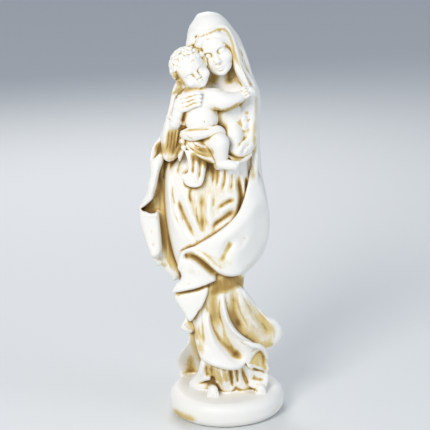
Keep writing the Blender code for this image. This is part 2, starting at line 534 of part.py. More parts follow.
def add_hem(clay):
    """The lower skirt on the base: a leaf at the left, pleats under the upper hem, and the two feet."""
    left = [(-23, 62), (-25.6, 54), (-29.6, 48.4), (-32.8, 43), (-32.6, 38.6), (-31.2, 34), (-31.2, 28),
            (-22, 28), (-14, 29), (-12, 44), (-15, 60)]

    def leaf_front(x, z):
        return 20.0 - 33.0 * eased((z - 15.0) / 45.0) + 3.0 * np.exp(-((x + 24.0) / 5.0) ** 2)

    clay.add(leaf(clay, left, leaf_front, lambda x, z: 5.0 + 6.0 * eased((z - 22.0) / 20.0), 2.0,
                  (-24, 30)), 1.6)
    flap = [(-25.4, 74), (-27.2, 70), (-29.2, 66), (-26.6, 63.4), (-21.5, 62), (-19, 70)]
    clay.add(leaf(clay, flap, -17.0, 10.0, 2.0), 1.4)
    clay.cut(limb(traced([(-22.6, 58, -20), (-20.4, 49, -18), (-18.8, 40, -14), (-20, 33, -8)]),
                  (1.6, 2.8, 3.0, 2.0)), 2.0)
    # The lower skirt's pleats, with a hem that runs in and out over the base
    clay.add(ellipsoid((-12, 1, 16), (13, 12, 8.6)), 2.0)
    apron = [(-15.6, 44), (-17.2, 36), (-20, 30.6), (-25, 24.6), (-22, 22.4), (-16, 25.2), (-9, 26.6),
             (-5.4, 24), (-2.4, 18.8), (2.2, 16.2), (5.4, 18.4), (7.4, 21.4), (10, 20.2), (13.4, 18.2),
             (17, 19.4), (20.6, 21), (24, 26), (28, 30), (29, 34), (20, 39), (5, 40)]
    relief = Relief(clay)
    relief.strokes((
        ([(-9.4, 40), (-8.6, 31), (-6, 24.4)], 3.4, -2.8),
        ([(3.2, 38), (4.8, 28), (5.6, 19)], 2.4, -2.4),
        ([(8.2, 38), (8.8, 29), (8.8, 22)], 2.2, -1.8),
        ([(11.4, 38), (13.8, 28), (17.4, 21)], 3.0, -3.0),
        ([(-12.6, 40), (-12, 33), (-11.4, 28)], 2.4, -1.6),
        ([(-4, 38), (-0.6, 26), (2.4, 17)], 2.8, 1.8),
        ([(-15.4, 42), (-15.8, 34), (-20, 26)], 3.0, 1.4),
        ([(6, 36), (6.8, 28), (7.4, 22)], 1.8, 1.0),
        ([(18, 34), (18.6, 27), (19.4, 22)], 3.0, 1.4),
    ))
    body = leaf(clay, apron, lambda x, z: -17.6 - 4.4 * eased((z - 18.0) / 20.0) + 0.02 * (x - 3) ** 2,
                lambda x, z: 16.0 + 9.0 * eased((-12.0 - x) / 8.0), 1.8, (-40, 24))
    clay.add(relieved(body, relief, -10.0), 1.4)
    instep = [(11, 33), (16, 36.2), (22, 36.4), (27, 34.4), (30.6, 30), (30.4, 24), (28, 19), (23, 18.4),
              (18, 20.6), (14.4, 25)]
    relief = Relief(clay)
    relief.strokes((
        ([(12.4, 33), (14.4, 27), (17.6, 21.6)], 2.4, -1.6),
        ([(17, 28.4), (22, 26.6), (30, 25.4)], 3.0, -1.3),
        ([(15.5, 33), (21, 31.6), (28, 30.4)], 2.6, 1.4),
    ))
    body = leaf(clay, instep, lambda x, z: -15.5 + 0.32 * np.maximum(x - 20.0, 0.0) - 0.3 * (24 - z), 18,
                2.4, (-30, 12))
    clay.add(relieved(body, relief, -6.0), 1.6)
    # Feet: bare at the left, and half under the cloth at the right
    for across, up, depth, slant in ((-8.4, 18.8, -19.0, -0.12), (24.8, 18.8, -16.5, 0.14)):
        heel, ball = placed(across - 0.6, up + 2.6, depth + 10), placed(across, up, depth)
        clay.add(limb((heel, ball), (2.8, 3.7)), 1.2)
        for toe in range(5):
            offset = -3.3 + 1.65 * toe
            forward = 2.6 - slant * offset - 0.09 * offset ** 2
            clay.add(ellipsoid(np.add(ball, (offset, -forward, -1.4)), (0.95, 1.9, 1.2)), 0.5)


# Heads, hands and limbs

class Pose:
    """A place and turn that carries local points into the figure."""

    def __init__(self, origin, turn, scale=1.0):
        self.origin = np.asarray(origin, float)
        self.turn = turn
        self.scale = scale

    def at(self, *local):
        return self.origin + self.turn @ (np.asarray(local, float) * self.scale)

    def ball(self, centre, radii):
        return ellipsoid(self.at(*centre), np.multiply(radii, self.scale), self.turn)

    def tube(self, points, radii):
        return limb([self.at(*p) for p in points], np.multiply(radii, self.scale))

    def body(self, rows, squareness=2.1):
        """A loft drawn upright about the pose's middle, from (level, half width, front, back) rows."""
        low, high, distance = loft([(z, -wide, wide, front, back) for z, wide, front, back in rows],
                                   squareness)
        corners = np.array([self.at(x, y, z) for x in (low[0], high[0]) for y in (low[1], high[1])
                            for z in (low[2], high[2])])

        def posed(x, y, z):
            away = [(v - o) / self.scale for v, o in zip((x, y, z), self.origin)]
            return self.scale * distance(*(sum(self.turn[k,
                                                         i] * away[k] for k in range(3)) for i in range(3)))

        return corners.min(axis=0), corners.max(axis=0), posed


MOTHER_HEAD = Pose((-0.4, -10.0, 256.0), turned(roll=20, pitch=9, yaw=4), 1.04)
CHILD_HEAD = Pose((-16.2, -21.5, 244.6), turned(roll=33, pitch=0, yaw=-12), 1.02)

# Heads are drawn upright about the middle between the ears: level, half width, front, back
MOTHER_FACE = [
    (-14.6, 3.0, -9.8, -4), (-13.8, 4.8, -11.8, -1), (-12.2, 6.5, -12.6, 2), (-10.2, 7.9, -12.4, 5),
    (-8.0, 8.9, -12.4, 8), (-5.0, 9.8, -12.4, 10), (-2.0, 10.3, -12.2, 12), (1.0, 10.4, -12.0, 13),
    (4.0, 10.4, -12.8, 13.5), (8.0, 10.3, -12.4, 13.5), (11.0, 9.6, -10.8, 13), (14.0, 7.4, -7.6, 11),
    (16.0, 4.0, -4.0, 7),
]
CHILD_FACE = [
    (-11.6, 2.2, -7.8, -2), (-10.6, 4.4, -9.4, 1), (-8.6, 6.4, -9.9, 4), (-6.0, 8.2, -9.8, 7),
    (-3.0, 9.2, -9.6, 9.5), (0.0, 9.7, -9.9, 11), (3.0, 10.0, -10.6, 12), (6.0, 9.8, -10.4, 12),
    (9.0, 8.4, -8.6, 10.5), (11.0, 6.0, -6.0, 8), (12.4, 3.0, -2.5, 4.5),
]


def add_mother_head(clay, pose):
    clay.add(pose.ball((0, 3.0, 4.6), (12.4, 13.4, 13.4)), 2.0)
    # Hair under the veil's rim and beside the face
    clay.add(ellipsoid(placed(-13.4, 263.4, -13.0), (4.0, 5.0, 4.4)), 1.6)
    clay.add(limb(traced([(-13.4, 259.6, -12.6), (-10.4, 263.0, -15), (-3, 266.0, -17), (4, 268.0, -17),
                          (9, 264, -16), (11.4, 257, -14.5), (13.0, 249, -13.5), (15.6, 241, -13.5),
                          (19.0, 234, -13.5), (22, 229, -13)]),
                  (2.4, 3.2, 3.4, 3.2, 3.0, 3.0, 2.8, 2.6, 2.2, 1.4)), 1.6)
    # Between the two heads
    clay.add(ellipsoid(placed(-12.4, 252.5, -14), (3.4, 6, 5)), 1.6)
    clay.add(ellipsoid(placed(-15.0, 261.0, -11), (4.5, 6, 6)), 1.6)
    clay.add(pose.body(MOTHER_FACE), 1.0)
    for side in (-1, 1):
        clay.cut(pose.ball((4.4 * side, -13.4, 0.6), (3.4, 2.8, 2.1)), 1.6)
        clay.add(pose.ball((4.3 * side, -8.9, 0.1), (2.5, 2.5, 2.2)), 0.5)
        clay.add(pose.ball((4.35 * side, -8.9, 1.0), (2.8, 2.6, 1.9)), 0.5)
        clay.add(pose.ball((5.3 * side, -8.0, -4.6), (3.9, 3.3, 3.9)), 2.6)
        # Hair, parted in the middle and drawn back at the temples
        clay.add(pose.tube([(0.4 * side, -9.6, 12.6), (5.4 * side, -9.6, 10.6), (9.6 * side, -6.8, 5.6),
                            (11.0 * side, -3.2, -2.0)], (1.6, 2.3, 2.5, 2.2)), 1.6)
    clay.add(pose.tube([(0, -11.5, 3.2), (0, -12.2, -0.8), (0, -13.3, -4.5)], (1.1, 1.1, 1.4)), 2.0)
    clay.add(pose.tube([(-2.4, -11.7, -8.7), (0, -12.7, -8.6), (2.4, -11.7, -8.7)], (0.5, 0.85, 0.5)), 0.9)
    clay.add(pose.tube([(-1.8, -11.7, -10.1), (0, -12.5, -10.2), (1.8, -11.7, -10.1)], (0.5, 0.95, 0.5)),
             0.9)
    clay.add(pose.ball((0, -10.9, -13.0), (2.7, 2.1, 1.9)), 1.8)


def add_child_head(clay, pose):
    clay.add(pose.body(CHILD_FACE), 2.0)
    for side in (-1, 1):
        clay.cut(pose.ball((3.8 * side, -10.9, -1.2), (2.9, 2.6, 1.7)), 1.3)
        clay.add(pose.ball((3.8 * side, -7.0, -1.6), (2.1, 2.1, 1.9)), 0.5)
        clay.add(pose.ball((3.8 * side, -6.9, -0.9), (2.3, 2.15, 1.6)), 0.5)
        clay.add(pose.ball((4.9 * side, -6.4, -5.4), (3.5, 3.2, 3.2)), 1.8)
        clay.add(pose.ball((9.7 * side, 0.6, -2.6), (1.5, 2.1, 2.7)), 0.8)
    clay.add(pose.tube([(0, -9.4, -0.8), (0, -10.4, -3.8)], (0.9, 1.2)), 1.2)
    clay.add(pose.tube([(-1.7, -9.2, -6.8), (0, -10.1, -6.6), (1.7, -9.2, -6.8)], (0.4, 0.8, 0.4)), 0.7)
    clay.add(pose.tube([(-1.4, -9.1, -8.0), (0, -9.8, -8.1), (1.4, -9.1, -8.0)], (0.4, 0.8, 0.4)), 0.7)
    clay.add(pose.ball((0, -8.4, -10.2), (2.0, 1.6, 1.4)), 1.4)
    # Hair: a cap over the crown and the back, rough with short locks
    clay.add(pose.ball((0, 3.4, 4.4), (10.8, 10.8, 10.0)), 0.8)
    for place, _ in child_locks():
        clay.add(pose.ball(place, (2.1, 2.1, 1.9)), 1.2)


def child_locks():
    """Places of the locks of hair on the child's head, evenly strewn, each with its own turn."""
    locks = []
    count = 110
    for step in range(count):
        height = 1.0 - 2.0 * (step + 0.5) / count
        angle = step * math.pi * (3.0 - math.sqrt(5.0))
        reach = math.sqrt(1.0 - height * height)
        x, y, z = 10.3 * reach * math.sin(angle), 2.4 - 11.0 * reach * math.cos(angle), 3.2 + 10.0 * height
        if z > -5.0 and y + 0.75 * z > -0.6 - 0.1 * abs(x):
            locks.append(((x, y, z), angle))
    return locks


def add_child(clay):
    clay.add(limb([(-13.5, -22, 230), (-15.5, -21.5, 240)], (6.5, 6.2)), 2.0)
    # Chest, belly and shoulders
    clay.add(ellipsoid(placed(-11.5, 221.5, -24), (11.8, 10.5, 11.5)), 2.0)
    clay.add(ellipsoid(placed(-10.8, 211, -26), (11.0, 10.0, 10.5)), 3.0)
    clay.add(ellipsoid(placed(-16.5, 226.5, -23), (7.5, 7.0, 5.5)), 2.5)
    # The arm that reaches over the mother's chest
    clay.add(limb(traced([(-6, 225.4, -27), (-1, 224.6, -29.5), (4.5, 223.0, -31), (11, 223.8, -29.5),
                          (16.4, 226.2, -27)]), (6.4, 7.0, 6.3, 4.8, 3.2)), 1.6)
    clay.add(ellipsoid(placed(17.8, 227.2, -26.5), (3.2, 2.4, 3.4), turned(roll=-30)), 1.0)
    for row in range(4):
        across, up = 18.8 - 0.9 * row, 225.2 + 1.75 * row
        clay.add(limb(traced([(across, up, -28), (across + 1.8, up + 0.9, -29),
                              (across + 3.4, up + 1.7, -27.4)]), (1.0, 0.95, 0.75)), 0.4)
    # The thigh and shin, down to the foot that rests on the mother's hand
    clay.add(limb(traced([(-4.5, 198, -27), (0.4, 194.6, -33)]), (6.6, 6.6)), 2.0)
    clay.add(limb(traced([(0.6, 195, -33.5), (1.2, 189, -33), (1.8, 183.4, -32.5)]), (6.4, 5.4, 4.0)), 1.5)
    clay.add(limb(traced([(1.4, 180.6, -33), (5.8, 179.8, -34.5), (10.0, 179.2, -34.5)]), (3.3, 3.4, 3.2)),
             1.4)
    for toe in range(5):
        clay.add(ellipsoid(placed(12.6 - 0.22 * toe ** 2 / 2, 181.4 - 1.25 * toe, -35.0),
                           (1.5, 1.1, 0.85)), 0.4)
    add_child_head(clay, CHILD_HEAD)


def add_wrap(clay):
    """The cloth about the child's waist, slung under the legs and hanging down at the left."""
    band = [(-24.8, 203.6), (-20, 205.4), (-12, 205.8), (-4, 206.2), (1, 206.6), (4.6, 203.6),
            (4.6, 199.6), (0, 200.4), (-5, 199.2), (-11, 197.6), (-17, 196.6), (-22, 197.6), (-25.4, 200)]
    relief = Relief(clay)
    relief.strokes((
        ([(-26, 202.4), (-18, 203.6), (-8, 204.0), (3, 204.6)], 1.6, -1.0),
        ([(-25, 200.4), (-18, 200.2), (-9, 200.8), (0, 202.4)], 2.4, 0.9),
    ))
    body = leaf(clay, band, bowed(-36.6, -8.5, 0.034, 0.036), 12.0, 2.4)
    clay.add(relieved(body, relief, -26.0), 1.0)
    clay.add(ellipsoid(placed(-11, 193, -22), (11.5, 9, 9)), 2.0)
    clay.add(ellipsoid(placed(-5.5, 190.5, -24), (8.5, 7.6, 6.5)), 2.0)
    # The cloth slung under the thigh, with folds that radiate from the knot at the left
    sling = [(-24, 199), (-14, 197), (-4, 198.5), (0, 192), (-1.4, 184), (-3, 181), (-9, 182.5),
             (-15, 185.5), (-20.4, 190)]
    relief = Relief(clay)
    relief.strokes((
        ([(-23.4, 198.6), (-20.6, 192.6), (-16, 188.2), (-9.6, 184.8), (-4, 183.2)], 1.7, 2.0),
        ([(-21.6, 197.8), (-18.4, 193.4), (-14, 190), (-8.8, 187.4)], 1.3, 1.4),
        ([(-19.4, 196.6), (-15.6, 192.8), (-11, 190.4)], 1.2, 1.2),
        ([(-16.6, 196.2), (-12.6, 193.6), (-8, 192.2)], 1.2, 1.2),
        ([(-18, 194.6), (-13, 191.4), (-6.5, 189)], 2.6, -1.4),
        ([(-14, 196.6), (-9, 195.4), (-5, 192.4), (-4.4, 187)], 3.0, -1.8),
    ))
    body = leaf(clay, sling, bowed(-31.6, -11, 0.045, 0.0), 14, 2.0)
    clay.add(relieved(body, relief, -22.0), 0.9)
    # The knot and the gathered cloth beside it
    clay.add(ellipsoid(placed(-24.0, 196.4, -27), (2.0, 2.4, 2.2)), 0.9)
    clay.add(ellipsoid(placed(-23.2, 192.4, -28), (1.7, 2.0, 2.4), turned(roll=25)), 0.9)
    for start, end, width in (((-24.6, 195), (-30.6, 184.6), 1.0), ((-23.4, 192), (-26.0, 183.4), 1.2)):
        middle = ((start[0] + end[0]) / 2 - 0.8, (start[1] + end[1]) / 2 - 0.4)
        clay.add(limb(traced([(*start, -26), (*middle, -26.5), (*end, -24.5)]),
                      (width, 1.3 * width, 0.6 * width)), 1.2)
    end = [(-22.6, 190.5), (-16, 190), (-9.4, 186.4), (-8.2, 181), (-9.2, 175), (-10.6, 169), (-12.8, 165.6),
           (-18, 164.8), (-22.4, 166.8), (-24.2, 170.6), (-22.6, 174), (-20.6, 176.4), (-20.8, 183)]
    relief = Relief(clay)
    relief.strokes((
        ([(-17.0, 188), (-17.2, 180), (-18.0, 172)], 2.0, -1.3),
        ([(-12.6, 186), (-12.8, 177), (-14.2, 168)], 2.0, -1.3),
        ([(-15, 188), (-15, 178), (-16, 168)], 2.0, 0.9),
        ([(-10.2, 184), (-10.8, 176), (-12, 168)], 1.8, 0.8),
    ))
    body = leaf(clay, end, bowed(-32.2, -16, 0.03, 0.03), 9.0, 1.4)
    clay.add(relieved(body, relief, -24.0), 0.8)
    clay.add(ellipsoid(placed(-23.6, 172.2, -29), (2.2, 2.2, 2.4)), 0.5)


def add_mother_arms(clay):
    # Neck, breast and shoulders
    clay.add(limb([(0, -5, 247), (3.0, -4.4, 236), (3.5, -3.4, 229)], (7.0, 6.4, 8.0)), 2.0)
    clay.add(ellipsoid((6.5, -14.5, 212.5), (11.5, 9.6, 11.0)), 5.0)
    clay.add(ellipsoid((13, -9, 225), (11, 8, 8)), 4.0)
    clay.add(limb([(22.5, -13, 227), (22, -15.5, 214), (22, -16.5, 200)], (3.6, 4.0, 3.6)), 3.0)
    ruffles = Relief(clay)
    ruffles.strokes((
        ([(19.6, 222), (17, 214), (18, 206), (14.4, 200)], 3.0, 1.8),
        ([(22.5, 220), (21.4, 210), (21.6, 202), (20, 195)], 3.0, -1.0),
        ([(13.5, 218), (12.6, 210), (12.0, 203)], 4.0, -0.9),
        ([(17, 215.2), (19.4, 214.2), (21.5, 216)], 1.8, -0.8),
        ([(16.6, 209.6), (19, 208.8), (21.5, 210.6)], 1.8, -0.8),
    ))
    clay.add(relieved(ellipsoid((18.5, -13, 209), (6.0, 7.5, 14.0)), ruffles, -14.0), 3.0)
    # The arm at the viewer's right: elbow, sleeve and the hand below the child
    sleeve = limb([(21, -7, 216), (21, -10, 202), (17.5, -18, 193.0), (12, -24.5, 190.5)],
                  (6.5, 6.8, 7.0, 6.4))
    folds = Relief(clay)
    folds.strokes((
        ([(20, 200), (15, 195), (11.5, 188)], 2.4, -1.2),
        ([(23, 196), (18, 191), (14, 184)], 2.2, -1.0),
    ))
    clay.add(relieved(sleeve, folds, -12.0), 2.5)
    clay.add(limb(traced([(15, 185, -22), (8, 182, -26), (0, 180, -28)]), (4.4, 4.2, 3.6)), 1.4)
    clay.add(ellipsoid(placed(10, 200, -21), (6.5, 7.0, 8.0)), 3.0)
    clay.add(limb(traced([(6.6, 185.6, -30.5), (11.6, 182.8, -31), (16.8, 182.6, -28), (21.4, 186, -22)]),
                  (0.9, 1.4, 1.4, 1.0)), 0.8)
    clay.cut(limb(traced([(7, 188.6, -36), (11.6, 186.0, -36), (16.6, 185.2, -33), (20.6, 187.6, -26)]),
                  (1.0, 1.5, 1.5, 1.0)), 1.2)
    # The arm at the viewer's left: sleeve, cuff, and the hand laid on the child's side
    clay.add(limb([(-31, -8, 206), (-31, -17, 205), (-28.4, -25, 210)], (4.4, 4.6, 3.7)), 2.0)
    hanging = [(-33.8, 213), (-29, 211.4), (-23.4, 208.4), (-24.2, 203), (-25, 197), (-24.6, 190.5),
               (-28, 185.5), (-33, 183.0), (-36.8, 186), (-37.4, 196), (-36.2, 205)]
    pleats = Relief(clay)
    for start in (-31.8, -29.6, -27.4, -25.2):
        pleats.stroke([(start, 207), (start - 1.4, 198), (start - 3.6, 186)], 1.5, -1.1)
    body = leaf(clay, hanging, bowed(-25.6, -29.5, 0.06, 0.05), 16, 2.4)
    clay.add(relieved(body, pleats, -16.0), 1.2)
    clay.add(limb(traced([(-33.4, 213.6, -22), (-30, 212.4, -27.5), (-26, 210.4, -29), (-22.8, 208.4, -26)]),
                  (0.9, 1.2, 1.2, 0.9)), 0.5)
    clay.add(limb(traced([(-28, 209, -26), (-26.4, 215, -28)]), (3.7, 3.7)), 1.0)
    clay.add(ellipsoid(placed(-22.8, 211.5, -19), (4.0, 7, 7)), 1.6)
    clay.add(ellipsoid(placed(-24.6, 220.6, -28.5), (4.4, 4.2, 6.6), turned(roll=-18, yaw=30)), 1.5)
    for row in range(4):
        knuckle, tip = 217.4 + 2.9 * row, 220.6 + 2.6 * row
        clay.add(limb(traced([(-24.4, knuckle, -29.5), (-20.4, knuckle + 1.2, -33), (-15.6, tip, -35.2),
                              (-11.0 - 0.4 * abs(row - 2), tip + 0.5, -35.8)]), (1.85, 1.75, 1.55, 1.2)),
                 0.45)
    clay.cut(limb(traced([(-21.4, 214.4, -36), (-22.6, 209, -32), (-23.6, 203, -28)]), (1.2, 1.7, 1.4)), 1.0)


def sculpt(clay):
    """All forms of the figure, in the order a modeller would lay them on."""
    add_mantle(clay)
    gown = relieved(loft(GOWN_STATIONS), gown_folds(clay), -6.0)
    back = hanging_folds(clay, (((-24, 116), (-25, 30)), ((-12, 112), (-13, 30)), ((1, 112), (0, 30)),
                                ((12, 110), (15, 30))), 6.0, 2.6)
    gown = relieved(gown, back, 6.0, front=False, soft=12.0)
    clay.add(gown, 1.0)
    add_hem(clay)
    add_skirt(clay)
    add_swag(clay)
    add_mother_arms(clay)
    add_mother_head(clay, MOTHER_HEAD)
    add_child(clay)
    add_wrap(clay)


# From clay to mesh

def settled(clay):
    """The distances made fit to skin: straight walls at the foot, no clay that meets at a point."""
    field = clay.field.copy()
    foot = np.searchsorted(clay.axes[2], DRAWN_FOOT + 1.5)
    field[:, :, :foot] = field[:, :, foot:foot + 1]
    field[:, :, 0] = 1.0
    inside = field < 0
    ends = (slice(None, -1), slice(1, None))
    changed = True
    while changed:
        changed = False
        for first, second in ((0, 1), (0, 2), (1, 2)):
            planes = np.moveaxis(inside, (first, second), (0, 1))
            a, b, c, d = planes[:-1, :-1], planes[1:, :-1], planes[1:, 1:], planes[:-1, 1:]
            crossed = (a & c & ~b & ~d) | (b & d & ~a & ~c)
            a |= crossed
            b |= crossed
            changed |= bool(crossed.any())
        corners = [inside[ends[i], ends[j], ends[k]] for i in (0, 1) for j in (0, 1) for k in (0, 1)]
        count = sum(corner.astype(np.int8) for corner in corners)
        for one in range(4):
            near, far = corners[one], corners[7 - one]
            touching = (near & far & (count == 2)) | (~near & ~far & (count == 6))
            if touching.any():
                changed = True
                for corner in corners:
                    corner |= touching
                break
    return np.where(inside & (field >= 0), -1e-3, field)


def skin(clay, name):
    """The clay's surface as a closed mesh of four-sided faces."""
    field = settled(clay)
    inside = field < 0
    corners = [(i, j, k) for i in (0, 1) for j in (0, 1) for k in (0, 1)]
    span = [n - 1 for n in field.shape]

    def corner(values, c):
        return values[c[0]:c[0] + span[0], c[1]:c[1] + span[1], c[2]:c[2] + span[2]]

    count = sum(corner(inside, c).astype(np.int8) for c in corners)
    cells = np.argwhere((count > 0) & (count < 8))
    number = np.full(span, -1, np.int64)
    number[tuple(cells.T)] = np.arange(len(cells))
    total, crossings = np.zeros((len(cells), 3)), np.zeros(len(cells))
    for a in corners:
        for b in corners:
            if sum(b) - sum(a) != 1 or any(q < p for p, q in zip(a, b)):
                continue
            first, second = cells + a, cells + b
            here, there = field[tuple(first.T)], field[tuple(second.T)]
            mixed = (here < 0) != (there < 0)
            t = np.where(mixed, here / np.where(mixed, here - there, 1.0), 0.0)[:, None]
            start = np.stack([axis[first[:, n]] for n, axis in enumerate(clay.axes)], axis=1)
            end = np.stack([axis[second[:, n]] for n, axis in enumerate(clay.axes)], axis=1)
            total += np.where(mixed[:, None], start + t * (end - start), 0.0)
            crossings += mixed
    points = total / crossings[:, None]
    faces = []
    for axis in range(3):
        side, up = (axis + 1) % 3, (axis + 2) % 3
        step = np.eye(3, dtype=int)
        here = inside[tuple(slice(0, -1) if n == axis else slice(1, -1) for n in range(3))]
        there = inside[tuple(slice(1, None) if n == axis else slice(1, -1) for n in range(3))]
        edges = np.argwhere(here != there) + step[side] + step[up]
        leaving = inside[tuple(edges.T)]
        ring = [edges - step[side] - step[up], edges - step[up], edges, edges - step[side]]
        quads = np.stack([number[tuple(c.T)] for c in ring], axis=1)
        faces.append(np.where(leaving[:, None], quads, quads[:, ::-1]))
    mesh = bpy.data.meshes.new(name)
    mesh.from_pydata(points.tolist(), [], np.concatenate(faces).tolist())
    return mesh


def keep_largest(mesh):
    """Drops crumbs that hang loose from the figure."""
    shape = bmesh.new()
    shape.from_mesh(mesh)
    shape.verts.ensure_lookup_table()
    seen, groups = set(), []
    for seed in shape.verts:
        if seed.index in seen:
            continue
        seen.add(seed.index)
        group, waiting = [seed], [seed]
        while waiting:
            for edge in waiting.pop().link_edges:
                for vertex in edge.verts:
                    if vertex.index not in seen:
                        seen.add(vertex.index)
                        group.append(vertex)
                        waiting.append(vertex)
        groups.append(group)
    groups.sort(key=len)
    crumbs = [vertex for group in groups[:-1] for vertex in group]
    bmesh.ops.delete(shape, geom=crumbs, context="VERTS")
    shape.to_mesh(mesh)
    shape.free()


def cream_finish():
    finish = bpy.data.materials.new("cream_resin")
    finish.use_nodes = True
    shader = finish.node_tree.nodes["Principled BSDF"]
    shader.inputs["Base Color"].default_value = CREAM
    shader.inputs["Roughness"].default_value = 0.55
    shader.inputs["Metallic"].default_value = 0.0
    return finish


def make_base(collection):
    """The turned base, a disc with rounded edges, that the figure is joined to."""
    bpy.ops.mesh.primitive_cylinder_add(vertices=64, radius=BASE_RADIUS, depth=BASE_HEIGHT,
                                        location=(0, 0, BASE_HEIGHT / 2))
    base = bpy.context.active_object
    base.name = "base_disc"
    rounding = base.modifiers.new("rounded_edges", "BEVEL")
    rounding.width = min(BASE_EDGE, 0.45 * BASE_HEIGHT)
    rounding.segments = 3
    for owner in list(base.users_collection):
        owner.objects.unlink(base)
    collection.objects.link(base)
    base.hide_render = True
    base.display_type = "WIRE"
    return base


def make_statue(collection, base):
    reach = ((-62, 50), (-48, 48), (DRAWN_FOOT - 8, DRAWN_TOP + 4))
    clay = Clay([np.arange(low, high, CLAY_CELL, dtype=np.float32) for low, high in reach])
    sculpt(clay)
    mesh = skin(clay, "statue")
    keep_largest(mesh)
    unit = (STATUE_HEIGHT - BASE_HEIGHT) / (DRAWN_TOP - DRAWN_FOOT)
    place = Matrix.Translation((DRAWN_OFFSET * unit, 0, BASE_HEIGHT - DRAWN_FOOT * unit))
    mesh.transform(place @ Matrix.Scale(unit, 4))
    mesh.materials.append(cream_finish())
    mesh.shade_smooth()
    statue = bpy.data.objects.new("statue", mesh)
    collection.objects.link(statue)
    thin = statue.modifiers.new("few_faces", "DECIMATE")
    thin.ratio = SOLID_TRIANGLES / (2 * len(mesh.polygons))
    join = statue.modifiers.new("joined_base", "BOOLEAN")
    join.operation = "UNION"
    join.solver = "EXACT"
    join.object = base
    return statue


def main():
    for obj in list(bpy.data.objects):
        bpy.data.objects.remove(obj)
    parts = bpy.data.collections.new("mother_and_child_statuette")
    cutters = bpy.data.collections.new("joined_shapes")
    for collection in (parts, cutters):
        bpy.context.scene.collection.children.link(collection)
    base = make_base(cutters)
    make_statue(parts, base)


main()
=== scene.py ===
import math

import bmesh
import bpy
import numpy as np
from mathutils import Matrix, Vector


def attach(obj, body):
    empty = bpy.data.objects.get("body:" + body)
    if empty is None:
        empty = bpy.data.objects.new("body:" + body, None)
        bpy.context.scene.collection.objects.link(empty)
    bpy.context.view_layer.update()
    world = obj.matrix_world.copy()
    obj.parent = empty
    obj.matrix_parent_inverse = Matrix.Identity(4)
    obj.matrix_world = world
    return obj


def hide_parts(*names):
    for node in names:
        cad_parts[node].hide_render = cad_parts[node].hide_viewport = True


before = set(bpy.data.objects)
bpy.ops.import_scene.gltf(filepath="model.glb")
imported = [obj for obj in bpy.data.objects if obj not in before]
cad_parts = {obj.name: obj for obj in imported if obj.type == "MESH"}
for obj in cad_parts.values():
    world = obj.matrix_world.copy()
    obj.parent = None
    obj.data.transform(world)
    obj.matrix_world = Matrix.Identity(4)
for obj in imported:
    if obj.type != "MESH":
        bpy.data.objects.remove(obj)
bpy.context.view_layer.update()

# Mother and child statuette, cast in one piece with its round base, cream with a gold-brown wash.
# The figure is shaped like clay: each form adds to, or cuts from, a block of distances to the surface.
# Places on the figure are in figure units, close to a millimetre each: level 15 is the top of the base,
# level 280 the top of the veil; x runs to the viewer's right, y away from the viewer and z up.

statueHeight = 0.280
baseRadius = 0.040
baseHeight = 0.0173
baseEdge = 0.0068

# Levels as drawn, in figure units, and how far the figure stands to the left of the base's middle
drawnTop = 280.0
drawnFoot = 15.0
drawnOffset = -1.2
unit = (statueHeight - baseHeight) / (drawnTop - drawnFoot)

# The block of clay in figure units: left to right, front to back, low to high
clayBox = ((-62, 50), (-48, 48), (drawnFoot - 8, drawnTop + 4))

# The eye that the front drawing is seen from, and the depth of the drawing's plane
eye = (-3.5, -965.9, 398.7)
drawingDepth = -20.0

# How far the bodies' sections lean from an ellipse, 2, towards a rectangle
bodySquareness = 2.2


# Curves and small formulas

# Points along a smooth curve through the given ones, and how far along each is, from 0 to 1
def smoothPath(points, samples):
    points = np.asarray(points, float)
    t = np.linspace(0.0, len(points) - 1.0, samples)
    first = np.clip(t.astype(int), 0, len(points) - 2)
    u = (t - first)[:, None]
    padded = np.vstack([2 * points[0] - points[1], points, 2 * points[-1] - points[-2]])
    before, start, end, after = (padded[first + k] for k in range(4))
    curve = start + 0.5 * u * (end - before + u * (2 * before - 5 * start + 4 * end - after
                                                   + u * (3 * (start - end) + after - before)))
    return curve, t / (len(points) - 1.0)


# Values that pass smoothly through a table of (level, value, value, ...) rows
def profile(stations, level):
    stations = np.asarray(sorted(stations), float)
    levels = stations[:, 0]
    curve, _ = smoothPath(stations, 12 * len(stations))
    order = np.maximum.accumulate(curve[:, 0])
    clipped = np.clip(level, levels[0], levels[-1])
    return [np.interp(clipped, order, curve[:, k]).astype(np.float32)
            for k in range(1, stations.shape[1])]


def eased(t):
    t = np.clip(t, 0.0, 1.0)
    return t * t * (3.0 - 2.0 * t)


def smoothMin(a, b, blend):
    if blend <= 0:
        return np.minimum(a, b)
    near = np.maximum(blend - np.abs(a - b), 0.0)
    return np.minimum(a, b) - near * near / (4.0 * blend)


def smoothMax(a, b, blend):
    return -smoothMin(-a, -b, blend)


# Turns in degrees: roll leans the top to the viewer's left, pitch bows, yaw turns to the left
def turned(roll=0.0, pitch=0.0, yaw=0.0):
    radians = [math.radians(a) for a in (roll, pitch, yaw)]
    turn = (Matrix.Rotation(-radians[2], 3, "Z") @ Matrix.Rotation(-radians[0], 3, "Y")
            @ Matrix.Rotation(radians[1], 3, "X"))
    return np.array(turn)


